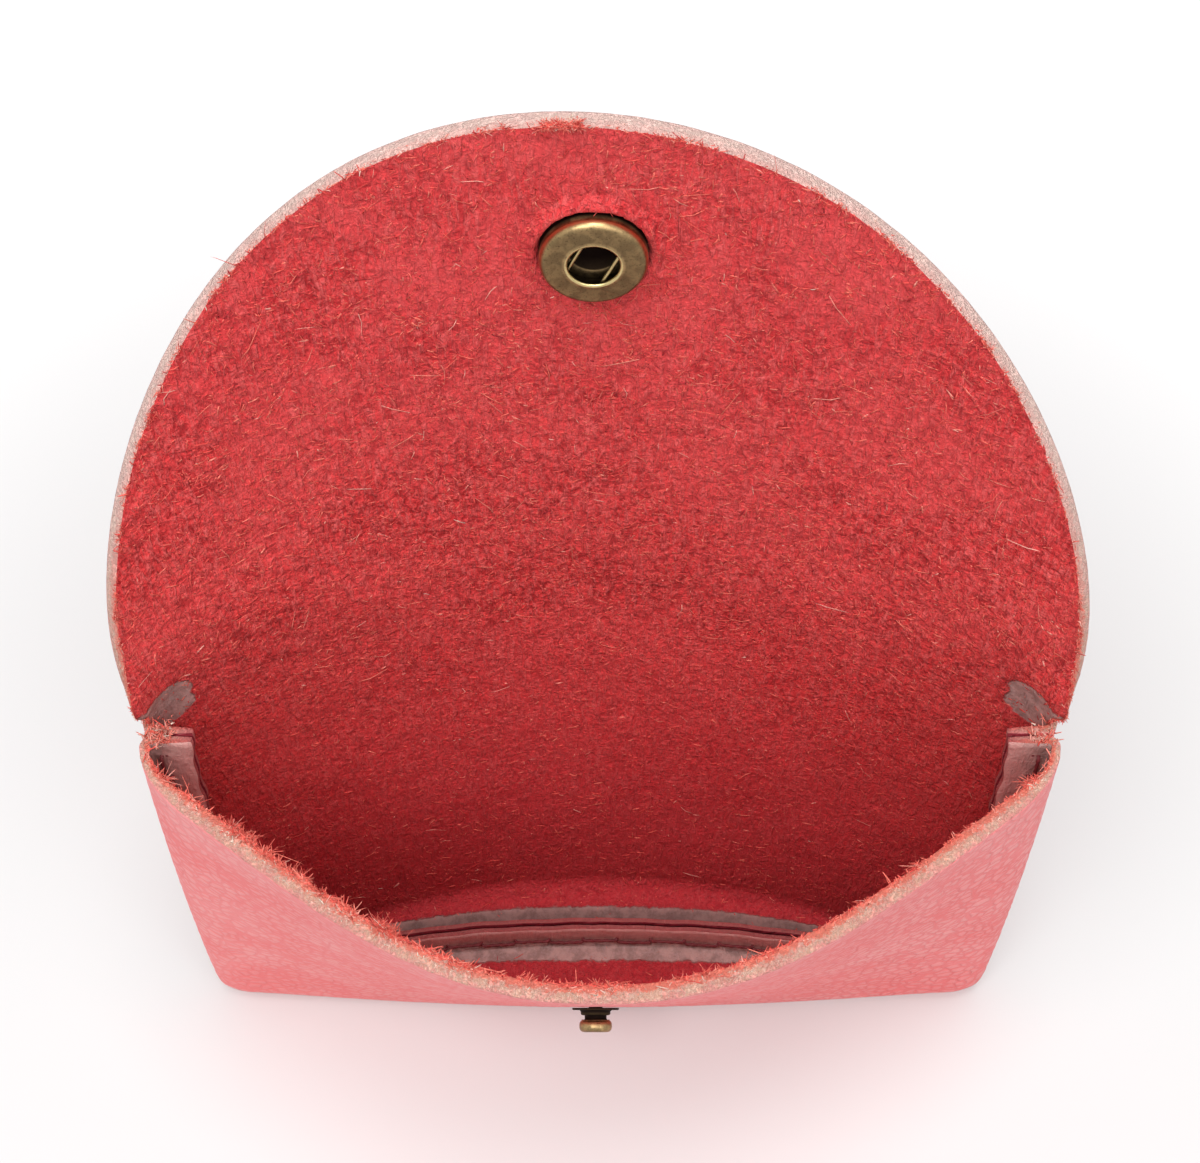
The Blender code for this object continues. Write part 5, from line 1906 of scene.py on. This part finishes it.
def stud_profile():
    """The stud: its rounded head, the neck that the spring's bars close on, its collar, flange and bore."""
    flange_top = SNAP_CLEAR + METAL
    bore = RIVET_POST + SNAP_CLEAR
    stud = [(0.0, STUD_TALL, 0.55), (STUD_HEAD * 0.35, STUD_TALL - HEAD_RISE * 0.01, 0.55)]
    for k in range(HEAD_STEPS):
        a = math.radians(84 - 12 * k)
        r = STUD_HEAD * (0.60 + 0.40 * fuller(math.cos(a), 0.7))
        z = STUD_TALL - HEAD_RISE * 0.50 + HEAD_RISE * 0.50 * fuller(math.sin(a), 0.8)
        stud.append((min(r, STUD_HEAD), z, 0.50 + 0.30 * math.cos(a)))
    stud += [(STUD_HEAD * 0.86, HEAD_LOW, 0.0), (STUD_NECK + CHAMFER, HEAD_LOW, 0.0)]
    stud += [(STUD_NECK, HEAD_LOW - CHAMFER, 0.0), (STUD_NECK, BARS_LOW - SNAP_CLEAR / 2, 0.0)]
    stud += [(STUD_COLLAR - COLLAR_CHAMFER, BARS_LOW - SNAP_CLEAR, 0.05)]
    stud += [(STUD_COLLAR, BARS_LOW - SNAP_CLEAR - COLLAR_CHAMFER, 0.1)]
    stud += [(STUD_COLLAR, flange_top + STUD_FILLET, 0.0), (STUD_COLLAR + STUD_FILLET, flange_top, 0.0)]
    stud += [(STUD_FLANGE - CHAMFER, flange_top, 0.0), (STUD_FLANGE, flange_top - CHAMFER, 0.1)]
    stud += [(STUD_FLANGE, SNAP_CLEAR, 0.0), (bore, SNAP_CLEAR, 0.0)]
    stud += [(bore, STUD_TALL - BORE_ROOF, 0.0), (0.0, STUD_TALL - BORE_ROOF, 0.0)]
    return stud


def rivet_profile():
    """The rivet: its post up the stud's bore, and its domed flange inside the front panel."""
    top = STUD_TALL - BORE_ROOF - SNAP_CLEAR
    rivet = [(0.0, top, 0.5), (RIVET_POST - CHAMFER, top, 0.5), (RIVET_POST, top - CHAMFER, 0.5)]
    rivet += [(RIVET_POST, UNDER_LEATHER, 0.1), (RIVET_FLANGE - CHAMFER, UNDER_LEATHER, 0.1)]
    rivet += [(RIVET_FLANGE, UNDER_LEATHER - CHAMFER, 0.7)]
    # The rivet's flange reaches the wear at which the brass takes a painted highlight
    rivet += [(RIVET_FLANGE, UNDER_LEATHER - METAL + CHAMFER, 0.85)]
    rivet += [(RIVET_FLANGE - CHAMFER, UNDER_LEATHER - METAL, 0.9)]
    rivet += [(RIVET_FLANGE * 0.5, UNDER_LEATHER - RIVET_DOME, 0.8), (0.0, UNDER_LEATHER - RIVET_DOME, 0.8)]
    return rivet


class CARDHOLDER_OT_snap_stud(bpy.types.Operator):
    """Set the snap's stud and its rivet in the front panel"""

    bl_idname = "cardholder.snap_stud"
    bl_label = "Snap stud"

    def execute(self, context):
        look = context.scene.card_holder_snap
        at = stud_frame()
        flutes = (FLUTES, FLUTE_DEPTH, HEAD_LOW + HEAD_RISE * 0.05, STUD_TALL - HEAD_RISE * 0.42)
        dress_metal(turned("snap_stud", stud_profile(), at, flutes), look, "stud", "pouch")
        dress_metal(turned("snap_rivet", rivet_profile(), at), look, "stud_rivet", "pouch")
        return {"FINISHED"}


FLOOR_HALF = 3.0
FLOOR_BELOW = 0.0002
# Distances from the pouch between which the camera sees the floor turn white, and how white it is at each
FLOOR_WHITE = (0.08, 0.40, 0.06, 0.90)
# Each lamp's name, place and width, and the setting that holds its power
LAMPS = (
    ("key_lamp", (-0.24, -0.34, 0.92), 0.6, "key_power"),
    ("fill_lamp", (0.38, -0.48, 0.84), 0.7, "fill_power"),
    ("top_lamp", (0.04, 0.0, 1.0), 0.35, "top_power"),
)
LAMP_AIM = (0, 0.005, 0.07)
TENT_LIGHT = 0.40  # strength of the light that the world gives
CAMERA_PLACE = (0.0, -0.0981, 0.2672)
CAMERA_TILT = math.radians(32.0)
CAMERA_LENS = 56.25
SENSOR_WIDTH = 36.0
WHITE = (1.0, 1.0, 1.0, 1.0)


def lamp(name, place, size, power):
    """A soft round lamp that points at the pouch."""
    data = bpy.data.lights.new(name, "AREA")
    data.shape = "DISK"
    data.size = size
    data.energy = power
    obj = bpy.data.objects.new(name, data)
    obj.location = place
    obj.rotation_euler = (Vector(LAMP_AIM) - Vector(place)).to_track_quat("-Z", "Y").to_euler()
    bpy.context.scene.collection.objects.link(obj)


def floor_material(look):
    """Pale floor, white to the camera away from the pouch so that only the shadow near it shows."""
    material, nodes, shader, where = new_material("pale_floor")
    pale = tuple(look.floor_colour)
    tint = nodes.mix(nodes.noise(where, 0.4, 2.0), pale, tuple(c * 0.99 for c in pale))
    finished(nodes, shader, tint, {"Roughness": 0.8, "Specular IOR Level": 0.1})
    path = nodes.add("ShaderNodeLightPath")
    away = nodes.add("ShaderNodeVectorMath", {0: where}, operation="LENGTH").outputs["Value"]
    seen = nodes.math("MULTIPLY", path.outputs["Is Camera Ray"], nodes.remap(away, *FLOOR_WHITE))
    glow = nodes.add("ShaderNodeEmission", {"Color": WHITE, "Strength": seen})
    both = nodes.add("ShaderNodeAddShader", {0: shader.outputs[0], 1: glow.outputs[0]})
    output = next(n for n in nodes.tree.nodes if n.type == "OUTPUT_MATERIAL")
    nodes.tree.links.new(both.outputs[0], output.inputs["Surface"])
    return material


def light_tent():
    """A world of soft light that the camera, gloss and glass see as white."""
    world = bpy.data.worlds.new("soft_tent")
    world.use_nodes = True
    bpy.context.scene.world = world
    tent = Tree(world.node_tree)
    back = next(n for n in world.node_tree.nodes if n.type == "BACKGROUND")
    path = tent.add("ShaderNodeLightPath")
    either = tent.math("MAXIMUM", path.outputs["Is Camera Ray"], path.outputs["Is Glossy Ray"])
    either = tent.math("MAXIMUM", either, path.outputs["Is Transmission Ray"])
    strength = tent.math("MULTIPLY_ADD", either, 1 - TENT_LIGHT, TENT_LIGHT)
    world.node_tree.links.new(strength, back.inputs["Strength"])
    back.inputs["Color"].default_value = WHITE


class CARDHOLDER_OT_stage(bpy.types.Operator):
    """Lay the floor, hang the soft lamps and set the camera"""

    bl_idname = "cardholder.stage"
    bl_label = "Stage"

    def execute(self, context):
        look = context.scene.card_holder_stage
        scene = context.scene
        signs = np.array([(-1, -1, 0), (1, -1, 0), (1, 1, 0), (-1, 1, 0)], float)
        floor = mesh_object("floor", signs * FLOOR_HALF, [[0, 1, 2, 3]])
        floor.location.z = -FLOOR_BELOW
        floor.data.materials.append(floor_material(look))

        light_tent()
        for name, place, size, power in LAMPS:
            lamp(name, place, size, getattr(look, power))

        data = bpy.data.cameras.new("camera")
        data.lens = CAMERA_LENS
        data.sensor_width = SENSOR_WIDTH
        camera = bpy.data.objects.new("camera", data)
        camera.location = CAMERA_PLACE
        camera.rotation_euler = (CAMERA_TILT, 0.0, 0.0)
        scene.collection.objects.link(camera)
        scene.camera = camera
        scene.view_settings.view_transform = "Standard"
        return {"FINISHED"}


BUILDERS = (
    CARDHOLDER_OT_back_and_flap,
    CARDHOLDER_OT_front_panel,
    CARDHOLDER_OT_nap,
    CARDHOLDER_OT_edge_fuzz,
    CARDHOLDER_OT_saddle_threads,
    CARDHOLDER_OT_snap_socket,
    CARDHOLDER_OT_snap_stud,
    CARDHOLDER_OT_stage,
)
SETTINGS = {
    "card_holder_leather": CardHolderLeather,
    "card_holder_snap": CardHolderSnap,
    "card_holder_thread": CardHolderThread,
    "card_holder_stage": CardHolderStage,
}


class CARDHOLDER_PT_sidebar(bpy.types.Panel):
    """Sizes, colours and pieces of the card holder"""

    bl_idname = "CARDHOLDER_PT_sidebar"
    bl_label = "Leather Card Holder"
    bl_space_type = "VIEW_3D"
    bl_region_type = "UI"
    bl_category = "Card Holder"

    def draw(self, context):
        for key, group in SETTINGS.items():
            settings = getattr(context.scene, key)
            box = self.layout.box()
            for name in group.__annotations__:
                box.prop(settings, name)
        for builder in BUILDERS:
            self.layout.operator(builder.bl_idname)


def register():
    for group in SETTINGS.values():
        bpy.utils.register_class(group)
    for key, group in SETTINGS.items():
        setattr(bpy.types.Scene, key, PointerProperty(type=group))
    for cls in (*BUILDERS, CARDHOLDER_PT_sidebar):
        bpy.utils.register_class(cls)


def unregister():
    for cls in (CARDHOLDER_PT_sidebar, *reversed(BUILDERS)):
        bpy.utils.unregister_class(cls)
    for key in SETTINGS:
        delattr(bpy.types.Scene, key)
    for group in reversed(list(SETTINGS.values())):
        bpy.utils.unregister_class(group)


def main():
    register()
    bpy.ops.cardholder.back_and_flap()
    bpy.ops.cardholder.front_panel()
    bpy.ops.cardholder.nap()
    bpy.ops.cardholder.edge_fuzz()
    bpy.ops.cardholder.saddle_threads()
    bpy.ops.cardholder.snap_socket()
    bpy.ops.cardholder.snap_stud()
    bpy.ops.cardholder.stage()


if __name__ == "__main__":
    main()
